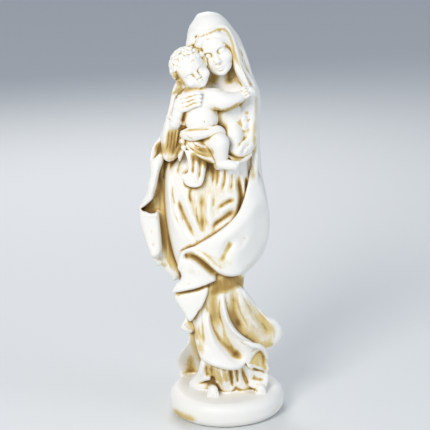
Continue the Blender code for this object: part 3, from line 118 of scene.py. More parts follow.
# A block of distances to the surface: below zero is clay, above is air
class Clay:

    def __init__(self, axes):
        self.axes = axes
        self.field = np.full([len(a) for a in self.axes], 40.0, np.float32)  # far off, so all air

    # The part of the block inside a box, and its open coordinate arrays
    def window(self, low, high):
        spans = [slice(np.searchsorted(a, p), np.searchsorted(a, q))
                 for a, p, q in zip(self.axes, low, high)]
        return tuple(spans), np.ix_(*[a[s] for a, s in zip(self.axes, spans)])

    # The part of the block that a shape can change, and the shape's distances there
    def reached(self, shape, blend):
        low, high, distance = shape
        spans, (x, y, z) = self.window(np.subtract(low, blend), np.add(high, blend))
        return spans, distance(x, y, z)

    def add(self, shape, blend):
        spans, distance = self.reached(shape, blend)
        self.field[spans] = smoothMin(self.field[spans], distance, blend)

    def cut(self, shape, blend):
        spans, distance = self.reached(shape, blend)
        self.field[spans] = smoothMax(self.field[spans], -distance, blend)


# Forms: each gives the corners of its box and its distance function

def ellipsoid(centre, radii, turn=np.eye(3)):
    centre, radii = np.asarray(centre, float), np.asarray(radii, float)
    reach = np.sqrt(((turn * radii) ** 2).sum(axis=1))

    def distance(x, y, z):
        offsets = (x - centre[0], y - centre[1], z - centre[2])
        local = [sum(turn[k, i] * offsets[k] for k in range(3)) for i in range(3)]
        near = sum((v / r) ** 2 for v, r in zip(local, radii))
        steep = sum((v / (r * r)) ** 2 for v, r in zip(local, radii))
        near = np.sqrt(near)
        return near * (near - 1.0) / np.sqrt(steep + 1e-9)

    return centre - reach, centre + reach, distance


# A smooth tapering tube
def limb(points, radii):
    rows = np.array([[*p, r] for p, r in zip(points, np.broadcast_to(radii, len(points)))], float)
    samples = 2 if len(rows) == 2 else 4 * len(rows) - 3
    path, _ = smoothPath(rows, samples)
    low = (path[:, :3] - path[:, 3:]).min(axis=0)
    high = (path[:, :3] + path[:, 3:]).max(axis=0)

    def distance(x, y, z):
        nearest = None
        for start, end in zip(path[:-1], path[1:]):
            run = end[:3] - start[:3]
            away = (x - start[0], y - start[1], z - start[2])
            along = sum(a * b for a, b in zip(away, run)) / max(run @ run, 1e-6)
            along = np.clip(along, 0.0, 1.0)
            off = [a - along * b for a, b in zip(away, run)]
            gap = np.sqrt(sum(v * v for v in off)) - (start[3] + (end[3] - start[3]) * along)
            nearest = gap if nearest is None else np.minimum(nearest, gap)
        return nearest

    return low, high, distance


# Middle and half width, then middle and half depth, of a loft's section at a level
def oval(stations, level):
    left, right, front, back = profile(stations, level)
    return (left + right) / 2, (right - left) / 2, (front + back) / 2, (back - front) / 2


# A body whose sections are ovals: rows of (level, left, right, front, back)
def loft(stations, squareness=bodySquareness, hem=None):
    rows = np.asarray(sorted(stations), float)

    def distance(x, y, z):
        across, wide, through, deep = oval(stations, z)
        across, through = x - across, y - through
        reach = np.sqrt(across * across + through * through) + 1e-3
        share = np.abs(across / wide) ** squareness + np.abs(through / deep) ** squareness
        body = reach * (1.0 - 1.0 / np.maximum(share ** (1.0 / squareness), 0.05))
        foot = hem(x, y) if hem else rows[0, 0]
        return smoothMax(smoothMax(body, foot - z, 2.0), z - rows[-1, 0], 2.0)

    low = (rows[:, 1].min(), rows[:, 3].min(), rows[0, 0])
    high = (rows[:, 2].max(), rows[:, 4].max(), rows[-1, 0])
    return np.subtract(low, 3), np.add(high, 3), distance


# A point on the front of a loft
def onFront(stations, x, level):
    across, wide, through, deep = (float(v) for v in oval(stations, level))
    share = min(abs((x - across) / wide), 1.0) ** bodySquareness
    return (x, through - deep * (1.0 - share) ** (1.0 / bodySquareness), level)


# Distance in the front plane to a smooth closed outline, below zero inside it
def outlineDistance(x, z, outline):
    loop = np.vstack([outline, outline[:1]])
    points, _ = smoothPath(loop, 5 * len(outline))
    squared = np.full(np.broadcast(x, z).shape, 1e6)
    inside = np.zeros(squared.shape, bool)
    for (ax, az), (bx, bz) in zip(points[:-1], points[1:]):
        dx, dz = bx - ax, bz - az
        along = np.clip(((x - ax) * dx + (z - az) * dz) / max(dx * dx + dz * dz, 1e-9), 0, 1)
        squared = np.minimum(squared, (x - ax - along * dx) ** 2 + (z - az - along * dz) ** 2)
        crosses = (az > z) != (bz > z)
        inside ^= crosses & (x < ax + (z - az) * dx / (dz if dz else 1e-9))
    distance = np.sqrt(squared)
    return np.where(inside, -distance, distance).astype(np.float32)


# Where a place shows on the front drawing: across, and up
def seen(x, y, z):
    scale = (drawingDepth - eye[1]) / (y - eye[1])
    return eye[0] + (x - eye[0]) * scale, eye[2] + (z - eye[2]) * scale


# The place at a depth that shows at a point of the front drawing
def placed(across, up, depth):
    scale = (depth - eye[1]) / (drawingDepth - eye[1])
    return (eye[0] + (across - eye[0]) * scale, depth, eye[2] + (up - eye[2]) * scale)


# Places for a run of (across, up, depth) points of the front drawing
def traced(points):
    return [placed(*point) for point in points]


# A limb and a ball whose places are points of the front drawing
def addLimb(clay, points, radii, blend):
    clay.add(limb(traced(points), radii), blend)


def addBall(clay, point, radii, blend, turn=np.eye(3)):
    clay.add(ellipsoid(placed(*point), radii, turn), blend)


# Values over a stretch of the front drawing, read wherever a place in the clay shows on it
class Drawing:

    def __init__(self, clay, low=(-64, 0), high=(54, 290)):
        step = min(float(np.diff(axis).min()) for axis in clay.axes)
        self.step = max(step, 0.3)  # no finer than the folds need
        self.x = np.arange(low[0], high[0], self.step, dtype=np.float32)[:, None]
        self.z = np.arange(low[1], high[1], self.step, dtype=np.float32)[None, :]
        self.height = np.zeros((self.x.size, self.z.size), np.float32)

    # The cell that each value falls in along one side, and how far into it
    def cell(self, values, side):
        share = np.clip((values - side[0]) / self.step, 0, side.size - 1.001)
        number = share.astype(int)
        return number, share - number

    def over(self, x, y, z):
        total = np.empty((x.size, y.size, z.size), np.float32)
        for row, depth in enumerate(y.ravel()):
            across, up = seen(x.ravel(), depth, z.ravel())
            (i, u), (k, v) = self.cell(across, self.x[:, 0]), self.cell(up, self.z[0])
            u, v = u[:, None], v[None, :]
            columns = self.height[i] * (1 - u) + self.height[i + 1] * u
            total[:, row, :] = columns[:, k] * (1 - v) + columns[:, k + 1] * v
        return total


# A leaf of cloth: an outline on the front drawing, the depth of its front, and its thickness
def leaf(clay, outline, front, thickness, rounding=2.0, depths=(-46.0, 4.0)):
    outline = np.asarray(outline, float)
    margin = rounding + 3
    edge = Drawing(clay, outline.min(axis=0) - margin, outline.max(axis=0) + margin)
    edge.height = outlineDistance(edge.x, edge.z, outline)
    corners = np.array([placed(across, up, depth) for depth in depths
                        for across in (edge.x[0, 0], edge.x[-1, 0]) for up in (edge.z[0, 0], edge.z[0, -1])])

    def distance(x, y, z):
        nearest = front(x, z) if callable(front) else front
        half = (thickness(x, z) if callable(thickness) else thickness) / 2
        return smoothMax(edge.over(x, y, z), np.abs(y - nearest - half) - half, rounding)

    return corners.min(axis=0), corners.max(axis=0), distance


# Heights over the front drawing, that swell or sink a body's front or back
class Relief(Drawing):

    # A fold along a path: a ridge where height is above zero, else a groove
    def stroke(self, path, width, height, ends=0.35):
        line, share = smoothPath(path, 6 * len(path))
        low, high = line.min(axis=0) - width, line.max(axis=0) + width
        spans = (slice(*np.searchsorted(self.x[:, 0], (low[0], high[0]))),
                 slice(*np.searchsorted(self.z[0], (low[1], high[1]))))
        x, z = self.x[spans[0]], self.z[:, spans[1]]
        near = np.full(self.height[spans].shape, 1e6, np.float32)
        along = np.zeros(near.shape, np.float32)
        for (ax, az), (bx, bz), s, e in zip(line[:-1], line[1:], share[:-1], share[1:]):
            dx, dz = bx - ax, bz - az
            t = np.clip(((x - ax) * dx + (z - az) * dz) / max(dx * dx + dz * dz, 1e-9), 0, 1)
            squared = (x - ax - t * dx) ** 2 + (z - az - t * dz) ** 2
            closer = squared < near
            near = np.where(closer, squared, near)
            along = np.where(closer, s + (e - s) * t, along)
        off = np.clip(np.sqrt(near) / width, 0.0, 1.0)
        rise = (1.0 - off) ** 2 * (1.0 + 2.0 * off)
        fade = eased(np.minimum(along, 1.0 - along) / ends) if ends else 1.0
        self.height[spans] += height * rise * fade

    def strokes(self, rows):
        for row in rows:
            self.stroke(*row)

    # Raises or sinks the area inside an outline
    def patch(self, outline, height, edge=1.2):
        outline = np.asarray(outline, float)
        self.height += height * eased(0.5 - outlineDistance(self.x, self.z, outline) / edge)


# The same shape with a relief over its front or its back
def relieved(shape, relief, spine, front=True, soft=6.0):
    low, high, distance = shape

    def swollen(x, y, z):
        side = (spine - y) if front else (y - spine)
        return distance(x, y, z) - relief.over(x, y, z) * eased(0.5 + side / soft)

    reach = max(6.0, float(np.abs(relief.height).max()))
    return np.subtract(low, reach), np.add(high, reach), swollen


# A depth that is nearest the viewer at one place and falls back to each side of it
def bowed(nearest, centre, left, right):
    def depth(x, z):
        off = x - centre
        return nearest + np.where(off < 0, left, right) * off * off
    return depth


# A leaf of cloth with folds in its front, rows of (path, width, height), laid on the clay
def addCloth(clay, outline, front, thickness, rounding, folds, spine, blend, depths=(-46.0, 4.0), soft=6.0):
    relief = Relief(clay)
    relief.strokes(folds)
    body = leaf(clay, outline, front, thickness, rounding, depths)
    clay.add(relieved(body, relief, spine, soft=soft), blend)


# The figure's main bodies. Rows are level, left, right, front, back.

gownStations = [(13, -16, 27, -15.5, 25), (24, -16, 27, -15.5, 25), (31, -16, 26, -15.5, 24),
    (37, -16, 25, -16.5, 23.5), (44, -16.6, 22, -18, 23), (52, -20.5, 19, -20, 22.5),
    (60, -23.5, 17, -21, 22.5), (67, -24, 16, -22, 22.5), (75, -23.5, 15, -22.5, 22.5),
    (90, -26, 15, -25, 23), (105, -30, 18, -26, 23), (120, -35, 23, -28, 24), (135, -38, 26, -29, 25),
    (150, -39, 27, -28.5, 25), (165, -38, 27, -27, 25), (180, -36, 26, -24, 24), (195, -32, 26, -19, 24),
    (208, -28, 26, -16, 23), (220, -26, 25, -14, 21), (229, -20, 20, -12, 17), (236, -9, 13, -9, 11),
    (244, -5, 9, -7, 10)]
mantleStations = [(78, -24, 14, -4, 26), (96, -32, 17, -6, 27), (108, -38, 23, -8, 28),
    (120, -41, 29, -11, 29), (135, -44, 33, -13, 29), (150, -44.5, 32.5, -14, 29),
    (165, -44.5, 30, -15, 28.5), (180, -44, 29, -17, 28), (190, -41, 28.5, -18, 28),
    (203, -36.5, 28.7, -18, 27), (214, -33, 29.6, -18, 26), (224, -30, 29.2, -18, 25),
    (231, -27, 26.7, -18, 24), (238, -24, 24, -18.5, 23), (247, -20.5, 21.5, -20, 21),
    (255, -18.6, 18.7, -21.5, 18), (263, -18.9, 15.8, -22, 14.5), (270, -17.3, 11, -20.5, 10.5),
    (275, -14.0, 7.2, -17, 7.5), (278.3, -11.7, 3.2, -13.5, 4), (279.6, -8.5, 0, -10, 0.5),
    (280.3, -5.5, -3, -6, -3.5)]

# Outlines on the front drawing are runs of (across, up) points

mantleOpening = [
    (-17, 261), (-15, 266), (-10, 266.5), (-5, 267), (-1, 269), (3, 271), (7, 270), (9.5, 265.5),
    (11.5, 259), (13.5, 252), (15.5, 247), (18, 241.5), (21.5, 235.5), (25, 229), (26, 215), (26, 195),
    (25, 175), (24, 165), (-20, 165), (-37, 170), (-38, 178), (-36.5, 188), (-35, 200), (-31, 213),
    (-28, 226), (-25, 239), (-20, 251),
]


def gownFolds(clay):
    relief = Relief(clay)
    relief.strokes((
        # Belly and thigh
        ([(-28.5, 163), (-27, 154), (-23.5, 144), (-19, 134), (-15, 123)], 4.6, -3.4),
        ([(-25, 166), (-22, 152), (-18, 138), (-13, 126)], 5.0, 1.5),
        ([(-34, 184), (-34, 165), (-32, 146), (-26, 126)], 5.0, 2.0),
        ([(-31, 178), (-31.5, 160), (-29.5, 144), (-23, 126)], 3.0, -1.6),
        ([(-38, 178), (-39.5, 155), (-38, 132), (-33, 108)], 5.0, -4.5),
        ([(-20, 165), (-18, 150), (-15.5, 136)], 4.0, -1.2),
        ([(-11.5, 165), (-12.5, 148), (-11.5, 130)], 4.5, -1.6),
        ([(-6, 164), (-7.5, 150), (-7, 138)], 3.6, 0.9),
        ([(12, 147.2), (7.5, 146.6), (1.6, 142.6), (-3.6, 138.4), (-6.6, 131)], 3.4, -2.1),
        ([(11, 142.5), (4, 140), (-2, 134.5)], 3.6, 1.3),
        ([(12, 155), (6.5, 154.8), (1.6, 151.8), (-2, 147.6)], 3.0, -1.4),
        ([(10, 151.5), (4, 150), (-2, 145.5)], 3.4, 1.1),
        # Folds that fall from the arm
        ([(13, 181), (13, 168), (14.5, 157), (13.5, 148), (10, 141)], 3.6, -3.4),
        ([(16.5, 176), (18.5, 164), (17.5, 154), (14, 146)], 2.8, -2.6),
        ([(15.5, 176), (16, 164), (16, 155)], 2.4, 1.2),
        ([(22.5, 190), (22, 178), (24, 166)], 4.6, -3.6),
        ([(-4.5, 182), (-4, 174), (-4.5, 164)], 2.0, -1.3),
        ([(-0.5, 182), (-1, 173), (-2.5, 162)], 2.0, -1.3),
        ([(4, 180), (3.5, 170), (1, 160)], 2.2, -1.5),
        ([(8.5, 178), (8.5, 168), (7, 160)], 2.4, -1.2),
        ([(-26, 192), (-30, 184), (-34, 174)], 2.4, -1.8),
        ([(-22, 190), (-26, 181), (-29, 170)], 2.4, -1.6),
        ([(-18.5, 166), (-20, 160), (-20, 152)], 2.2, -0.8),
        # Chest and sleeve at the viewer's right
        ([(8.5, 243), (7.5, 237), (7.5, 230)], 2.2, -2.0),
        ([(23, 226), (24, 208), (23, 190)], 3.0, -1.6),
    ))
    return relief


# Ridges that hang with a slight sway, each from a top to a foot, with a furrow beside it
def hangingFolds(clay, rows, width, height):
    relief = Relief(clay)
    sways, weights = (3.0, -1.6, 2.2, -3.4, 0.8), (1.0, 0.65, 1.25, 0.8, 1.1)
    for number, ((topX, top), (footX, foot)) in enumerate(rows):
        sway, weight = sways[number % 5], weights[number % 5]
        path = [(topX, top), (topX * 0.7 + footX * 0.3 + sway, top * 0.66 + foot * 0.34),
            (topX * 0.3 + footX * 0.7 - 0.5 * sway, top * 0.3 + foot * 0.7), (footX, foot)]
        relief.stroke(path, width * weight, height * weight, 0.28)
        beside = 4.2 + 1.6 * weight
        furrow = [(x + beside, z - 9 * weight * (step == 0)) for step, (x, z) in enumerate(path)]
        relief.stroke(furrow, 0.6 * width * weight, -0.7 * height * weight, 0.28)
    return relief


# Pleats of the veil beside the face and over the arms
def veilFolds(clay):
    relief = Relief(clay)
    relief.strokes((
        ([(13, 263), (16.5, 254), (20, 243), (26, 231)], 3.0, -1.0),
        ([(16, 266), (19.5, 254), (23, 243), (28, 232)], 2.6, 0.8),
        ([(28, 224), (28.5, 205), (28, 180)], 2.4, -1.2),
        ([(-30, 226), (-34, 211), (-39, 200)], 2.6, 1.0),
        ([(-29, 222), (-32, 211), (-36, 201)], 2.0, -1.2),
    ))
    return relief


def addMantle(clay):
    body = loft(mantleStations, bodySquareness, lambda x, y: 90.0 + 0.22 * x
        + 2.5 * np.sin(0.33 * x + 0.05 * y))
    folds = hangingFolds(clay, (((-2, 256), (-9, 96)), ((9, 249), (7, 104)), ((-13, 245), (-23, 96)),
                                 ((19, 237), (21, 112)), ((-23, 231), (-36, 116))), 6.5, 3.4)
    body = relieved(body, folds, 9.0, front=False, soft=14.0)
    body = relieved(body, veilFolds(clay), -3.0)
    clay.add(body, 1.0)
    clay.cut(leaf(clay, mantleOpening, -60.0,
                  lambda x, z: 57.0 - 7.0 * eased((z - 222.0) / 10.0) - 4.0 * eased((z - 246.0) / 10.0),
                  1.5, (-62, 0)), 1.2)
    rim = [(-17, 265.0), (-14, 268.0), (-8, 268.4), (-3, 269.2), (3, 271.8), (7, 270.6), (10.0, 265.4),
        (12.5, 257.5), (15, 249.5), (18, 242), (21.5, 236), (24.8, 228.5), (25.8, 213), (25.8, 196),
        (25, 180), (24, 166)]
    rim = [np.add(onFront(mantleStations, x, z), (0, 0.5, 0)) for x, z in rim]
    clay.add(limb(rim, (1.2, 1.3, 1.3, 1.3, 1.4, 1.5, 1.6, 1.6, 1.6, 1.7, 1.8, 1.8, 1.7, 1.6, 1.5, 1.4)),
             1.2)
    edge = [(-22, 238), (-27.5, 229), (-30.5, 217), (-33.5, 206), (-37.0, 198)]
    edge = [np.add(onFront(mantleStations, x, z), (0, 1.0, 0)) for x, z in edge]
    clay.add(limb(edge, (1.6, 1.7, 1.7, 1.7, 1.9)), 1.6)
    addSidePanel(clay)


# The mantle's fall from the left arm: an upper and a lower leaf with a deep turn between
def addSidePanel(clay):
    behind = [(-34, 206), (-38, 200), (-43.5, 192), (-45, 184), (-45, 174), (-47, 165), (-50, 158),
        (-52.5, 152), (-52.5, 143), (-50.5, 133), (-48.5, 124), (-46.5, 117.5), (-44, 111.2), (-40, 110.6),
        (-38, 107), (-35, 103), (-32, 99.5), (-28, 106), (-29, 130), (-31, 165)]
    clay.add(leaf(clay, behind, bowed(-7.0, -38, 0.02, 0.02), 15.0, 4.0, (-30, 16)), 2.0)
    upper = [(-33, 214), (-38, 201.5), (-43.5, 194), (-45.8, 185), (-45.8, 175), (-48.0, 168), (-48.6, 163),
        (-51.5, 157.5), (-54.4, 152.4), (-52.0, 152.0), (-48.5, 154.5), (-44.5, 158.5), (-41.2, 164),
        (-39.6, 171), (-37.8, 179), (-36.6, 186), (-35.5, 193), (-32, 204)]
    folds = (
        ([(-37, 184), (-39.5, 174), (-42.5, 164), (-46, 157)], 3.0, -2.4),
        ([(-40.5, 186), (-42.5, 174), (-45, 164), (-50, 156)], 3.4, 1.4),
    )
    addCloth(clay, upper, bowed(-18.5, -40, 0.035, 0.05), lambda x, z: 12.0 + 0.3 * np.maximum(x + 48, 0),
        2.6, folds, -8.0, 1.6)
    lower = [(-54.4, 151.2), (-51, 149.0), (-47.5, 147.2), (-44, 147.2), (-41.6, 148.6), (-40.8, 140),
        (-40.2, 130), (-40.2, 122), (-42.5, 117.5), (-46.6, 116.8), (-48.2, 120), (-50.2, 126),
        (-52.4, 134), (-54.2, 143)]
    folds = (
        ([(-52, 149), (-47, 146.4), (-41, 147.4)], 3.0, 1.0, 0.2),
        ([(-47, 143), (-46.5, 130), (-44, 119)], 3.4, -0.9),
    )
    addCloth(clay, lower, bowed(-15.5, -44, 0.035, 0.09), 14.0, 3.0, folds, -7.0, 2.4)
    crescent = [(-38.0, 199.5), (-43, 200), (-49, 194), (-49, 185), (-44.6, 184.6), (-41.0, 187.2),
        (-38.0, 191.5)]
    clay.cut(leaf(clay, crescent, -40.0, lambda x, z: 26.5 - 0.5 * np.maximum(-x - 40, 0), 1.5), 2.0)


# The mantle's hem, swept across the hips and doubled back at the left in three layers
def addSwag(clay):
    tip = [(-34.2, 91.5), (-31.2, 84), (-27.4, 78), (-25.2, 73.5), (-22.4, 70.3), (-17.6, 75.6),
        (-13.4, 82), (-10.4, 89), (-8.6, 96), (-4, 100), (-12, 103), (-28, 97)]
    folds = (
        ([(-36, 91), (-27, 91.6), (-18, 93.4), (-10, 97), (-2, 100)], 4.0, -1.8, 0.1),
    )
    addCloth(clay, tip, bowed(-28.5, -14, 0.012, 0.02), lambda x, z: 7.5 + 0.7 * np.maximum(x + 30, 0), 1.8,
        folds, -18.0, 0.8)
    second = [(-24.5, 121.5), (-28.4, 117), (-29.9, 109.5), (-28.6, 102.5), (-32.2, 96.4), (-34.5, 91.6),
        (-31.8, 91.2), (-26, 92.4), (-19, 93.6), (-12, 95.6), (-6, 98.2), (-1, 101), (6, 104), (0, 113),
        (-10, 120), (-18, 123)]
    folds = (
        ([(-27, 117.5), (-19, 116.4), (-12, 111.6), (-5, 104.6), (2, 99.5)], 4.6, -3.2, 0.12),
        ([(-33, 93), (-24, 94), (-13, 97)], 3.0, 0.8),
        ([(-27, 112), (-27.5, 104), (-31, 95)], 3.0, -1.2),
    )
    addCloth(clay, second, bowed(-32.0, -12, 0.010, 0.02), lambda x, z: 6.5 + 0.7 * np.maximum(x + 30, 0),
        2.0, folds, -22.0, 0.8)
    swag = [(-28.6, 116.5), (-27.5, 120), (-24.0, 121.3), (-19, 123.2), (-14, 126), (-5, 131), (4.5, 138),
        (11.5, 145.5), (15.6, 154), (18.5, 164), (22, 176), (28, 169), (30.4, 160), (32.5, 150),
        (33.4, 140), (32.6, 130), (29.8, 120), (24.8, 112), (18.4, 105.6), (12, 102.4), (5.5, 101.6),
        (-0.5, 103.8), (-6.5, 108.6), (-12, 113.6), (-17.5, 117.6), (-22.5, 119.2), (-26.5, 118.0)]
    folds = (
        ([(29, 166), (24, 150), (15, 138), (2, 128), (-14, 122)], 8.0, 2.4),
        ([(31, 146), (23, 136), (17, 128), (11, 119), (6, 110)], 6.0, 1.5),
        ([(36, 132), (27, 120), (19, 110), (10, 104)], 9.0, -2.0),
        ([(8.5, 132), (5, 124), (1.5, 116), (-1.5, 110)], 4.4, -1.5),
        ([(19, 131), (15, 126), (11, 119)], 3.6, -1.0),
        ([(-24, 119.5), (-17, 118.5), (-11, 114.5), (-5, 108.5), (0, 104.8), (7, 102.6)], 3.0, 1.0),
    )
    sweep = bowed(-35.5, -2, 0.0115, 0.0175)
    addCloth(clay, swag, lambda x, z: sweep(x, z) + 0.3 * np.maximum(z - 152.0, 0.0),
        lambda x, z: 14.0 + 0.75 * np.maximum(x, 0), 3.4, folds, -8.0, 1.4, (-48, 12), soft=10.0)


# The upper skirt: a front panel with a swung hem, the lobe that flies to the right, and its curl
def addSkirt(clay):
    lobe = [(4, 100), (16.2, 91), (22, 82.6), (28, 74.4), (32, 71.6), (36.5, 69.6), (40.2, 64.8),
        (40.8, 59.5), (38.8, 54), (34.4, 50), (29, 46.2), (22, 45.6), (10, 52), (2, 66), (0, 84)]
    folds = (
        ([(3, 98), (5, 84), (9, 70), (16, 60)], 7.0, -3.6),
        ([(11, 96), (15, 82), (22, 68), (30, 58)], 6.0, 1.4),
        ([(15, 90), (20, 78), (27, 66), (31, 56)], 5.0, -1.6),
    )
    addCloth(clay, lobe, lambda x, z: -25.0 + 0.46 * np.maximum(x - 2.0, 0.0),
        lambda x, z: 30.0 - 0.45 * np.maximum(x - 6.0, 0.0), 4.0, folds, -2.0, 2.0, (-40, 26), soft=8.0)
    front = [(-16, 104), (-21.5, 92), (-22.5, 78), (-20.5, 62), (-18, 49), (-15.6, 42.4), (-10, 38.4),
        (-4, 35.9), (1, 34.4), (6, 33.6), (11, 34.4), (15.6, 37.6), (18.4, 42), (20.4, 47), (24.5, 50.8),
        (19.5, 52.2), (13, 55.4), (8, 60.8), (4.2, 68), (2.0, 78), (0.5, 90), (2, 104)]
    folds = (
        ([(-4, 104), (-6, 92), (-6.4, 80), (-4.8, 69), (-1.4, 59), (3.8, 50.6), (10, 43.6), (19, 37.6)],
         8.0, -7.6, 0.2),
        ([(-0.8, 96), (0.2, 78), (4.4, 66.6), (10.4, 59), (18, 53.8), (24, 51)], 3.6, 4.4),
        ([(-12, 94), (-13.6, 76), (-14.4, 60), (-12, 46)], 4.2, -1.6),
        ([(-8.4, 90), (-9.4, 72), (-7.6, 56), (-1, 42)], 5.0, 1.8),
        ([(-19, 84), (-19.4, 68), (-18, 54)], 3.4, -1.4),
        ([(-12, 40.4), (-4, 37.6), (4, 35.6), (12, 36.8)], 3.0, 1.2),
    )
    addCloth(clay, front, lambda x, z: -25.6 - 4.5 * eased((70.0 - z) / 40.0) + 0.012 * (x + 3) ** 2, 16.0,
        2.4, folds, -14.0, 1.6, (-46, 0), soft=10.0)
    curl = [(15.5, 38), (18, 42), (21, 47), (24.8, 49.4), (27.8, 47.4), (29.6, 43), (30, 38), (31.2, 33.4),
        (28.6, 31.0), (23, 32), (17, 35)]
    relief = Relief(clay)
    relief.patch([(17, 38), (21.4, 45), (25, 47.4), (27.6, 43.6), (28.2, 37.4), (29, 32), (22, 32)], -1.8,
                 3.0)
    body = leaf(clay, curl, lambda x, z: -23.5 + 0.5 * np.maximum(x - 18.0, 0.0), 20, 2.4, (-44, 10))
    clay.add(relieved(body, relief, -12.0), 1.2)
    addLimb(clay, [(15, 54, -30.0), (20, 51.6, -29), (25, 50.2, -26.5), (28.4, 46.8, -22.5),
        (29.8, 41.6, -18)], (1.2, 1.8, 1.8, 1.5, 1.0), 1.4)


# The lower skirt on the base: a leaf at the left, pleats under the upper hem, and the two feet
def addHem(clay):
    left = [(-23, 62), (-25.6, 54), (-29.6, 48.4), (-32.8, 43), (-32.6, 38.6), (-31.2, 34), (-31.2, 28),
        (-22, 28), (-14, 29), (-12, 44), (-15, 60)]

    def leafFront(x, z):
        return 20.0 - 33.0 * eased((z - 15.0) / 45.0) + 3.0 * np.exp(-((x + 24.0) / 5.0) ** 2)

    clay.add(leaf(clay, left, leafFront, lambda x, z: 5.0 + 6.0 * eased((z - 22.0) / 20.0), 2.0,
                  (-24, 30)), 1.6)
    flap = [(-25.4, 74), (-27.2, 70), (-29.2, 66), (-26.6, 63.4), (-21.5, 62), (-19, 70)]
    clay.add(leaf(clay, flap, -17.0, 10.0, 2.0), 1.4)
    clay.cut(limb(traced([(-22.6, 58, -20), (-20.4, 49, -18), (-18.8, 40, -14), (-20, 33, -8)]),
                  (1.6, 2.8, 3.0, 2.0)), 2.0)
    # The lower skirt's pleats, with a hem that runs in and out over the base
    clay.add(ellipsoid((-12, 1, 16), (13, 12, 8.6)), 2.0)
    apron = [(-15.6, 44), (-17.2, 36), (-20, 30.6), (-25, 24.6), (-22, 22.4), (-16, 25.2), (-9, 26.6),
        (-5.4, 24), (-2.4, 18.8), (2.2, 16.2), (5.4, 18.4), (7.4, 21.4), (10, 20.2), (13.4, 18.2),
        (17, 19.4), (20.6, 21), (24, 26), (28, 30), (29, 34), (20, 39), (5, 40)]
    folds = (
        ([(-9.4, 40), (-8.6, 31), (-6, 24.4)], 3.4, -2.8),
        ([(3.2, 38), (4.8, 28), (5.6, 19)], 2.4, -2.4),
        ([(8.2, 38), (8.8, 29), (8.8, 22)], 2.2, -1.8),
        ([(11.4, 38), (13.8, 28), (17.4, 21)], 3.0, -3.0),
        ([(-12.6, 40), (-12, 33), (-11.4, 28)], 2.4, -1.6),
        ([(-4, 38), (-0.6, 26), (2.4, 17)], 2.8, 1.8),
        ([(-15.4, 42), (-15.8, 34), (-20, 26)], 3.0, 1.4),
        ([(6, 36), (6.8, 28), (7.4, 22)], 1.8, 1.0),
        ([(18, 34), (18.6, 27), (19.4, 22)], 3.0, 1.4),
    )
    addCloth(clay, apron, lambda x, z: -17.6 - 4.4 * eased((z - 18.0) / 20.0) + 0.02 * (x - 3) ** 2,
        lambda x, z: 16.0 + 9.0 * eased((-12.0 - x) / 8.0), 1.8, folds, -10.0, 1.4, (-40, 24))
    instep = [(11, 33), (16, 36.2), (22, 36.4), (27, 34.4), (30.6, 30), (30.4, 24), (28, 19), (23, 18.4),
        (18, 20.6), (14.4, 25)]
    folds = (
        ([(12.4, 33), (14.4, 27), (17.6, 21.6)], 2.4, -1.6),
        ([(17, 28.4), (22, 26.6), (30, 25.4)], 3.0, -1.3),
        ([(15.5, 33), (21, 31.6), (28, 30.4)], 2.6, 1.4),
    )
    addCloth(clay, instep, lambda x, z: -15.5 + 0.32 * np.maximum(x - 20.0, 0.0) - 0.3 * (24 - z), 18, 2.4,
        folds, -6.0, 1.6, (-30, 12))
    # Feet: bare at the left, and half under the cloth at the right
    for across, up, depth, slant in ((-8.4, 18.8, -19.0, -0.12), (24.8, 18.8, -16.5, 0.14)):
        heel, ball = placed(across - 0.6, up + 2.6, depth + 10), placed(across, up, depth)
        clay.add(limb((heel, ball), (2.8, 3.7)), 1.2)
        for toe in range(5):
            offset = -3.3 + 1.65 * toe
            forward = 2.6 - slant * offset - 0.09 * offset ** 2
            clay.add(ellipsoid(np.add(ball, (offset, -forward, -1.4)), (0.95, 1.9, 1.2)), 0.5)


# Heads, hands and limbs

# A place and turn that carries local points into the figure
class Pose:

    def __init__(self, origin, turn, scale=1.0):
        self.origin = np.asarray(origin, float)
        self.turn = turn
        self.scale = scale

    def at(self, *local):
        return self.origin + self.turn @ (np.asarray(local, float) * self.scale)

    def ball(self, centre, radii):
        return ellipsoid(self.at(*centre), np.multiply(radii, self.scale), self.turn)

    def tube(self, points, radii):
        return limb([self.at(*p) for p in points], np.multiply(radii, self.scale))

    # A loft drawn upright about the pose's middle, from (level, half width, front, back) rows
    def body(self, rows, squareness=2.1):
        low, high, distance = loft([(z, -wide, wide, front, back) for z, wide, front, back in rows],
                                   squareness)
        corners = np.array([self.at(x, y, z) for x in (low[0], high[0]) for y in (low[1], high[1])
                            for z in (low[2], high[2])])

        def posed(x, y, z):
            away = [(v - o) / self.scale for v, o in zip((x, y, z), self.origin)]
            local = [sum(self.turn[k, i] * away[k] for k in range(3)) for i in range(3)]
            return self.scale * distance(*local)

        return corners.min(axis=0), corners.max(axis=0), posed


motherHead = Pose((-0.4, -10.0, 256.0), turned(roll=20, pitch=9, yaw=4), 1.04)
childHead = Pose((-16.2, -21.5, 244.6), turned(roll=33, pitch=0, yaw=-12), 1.02)

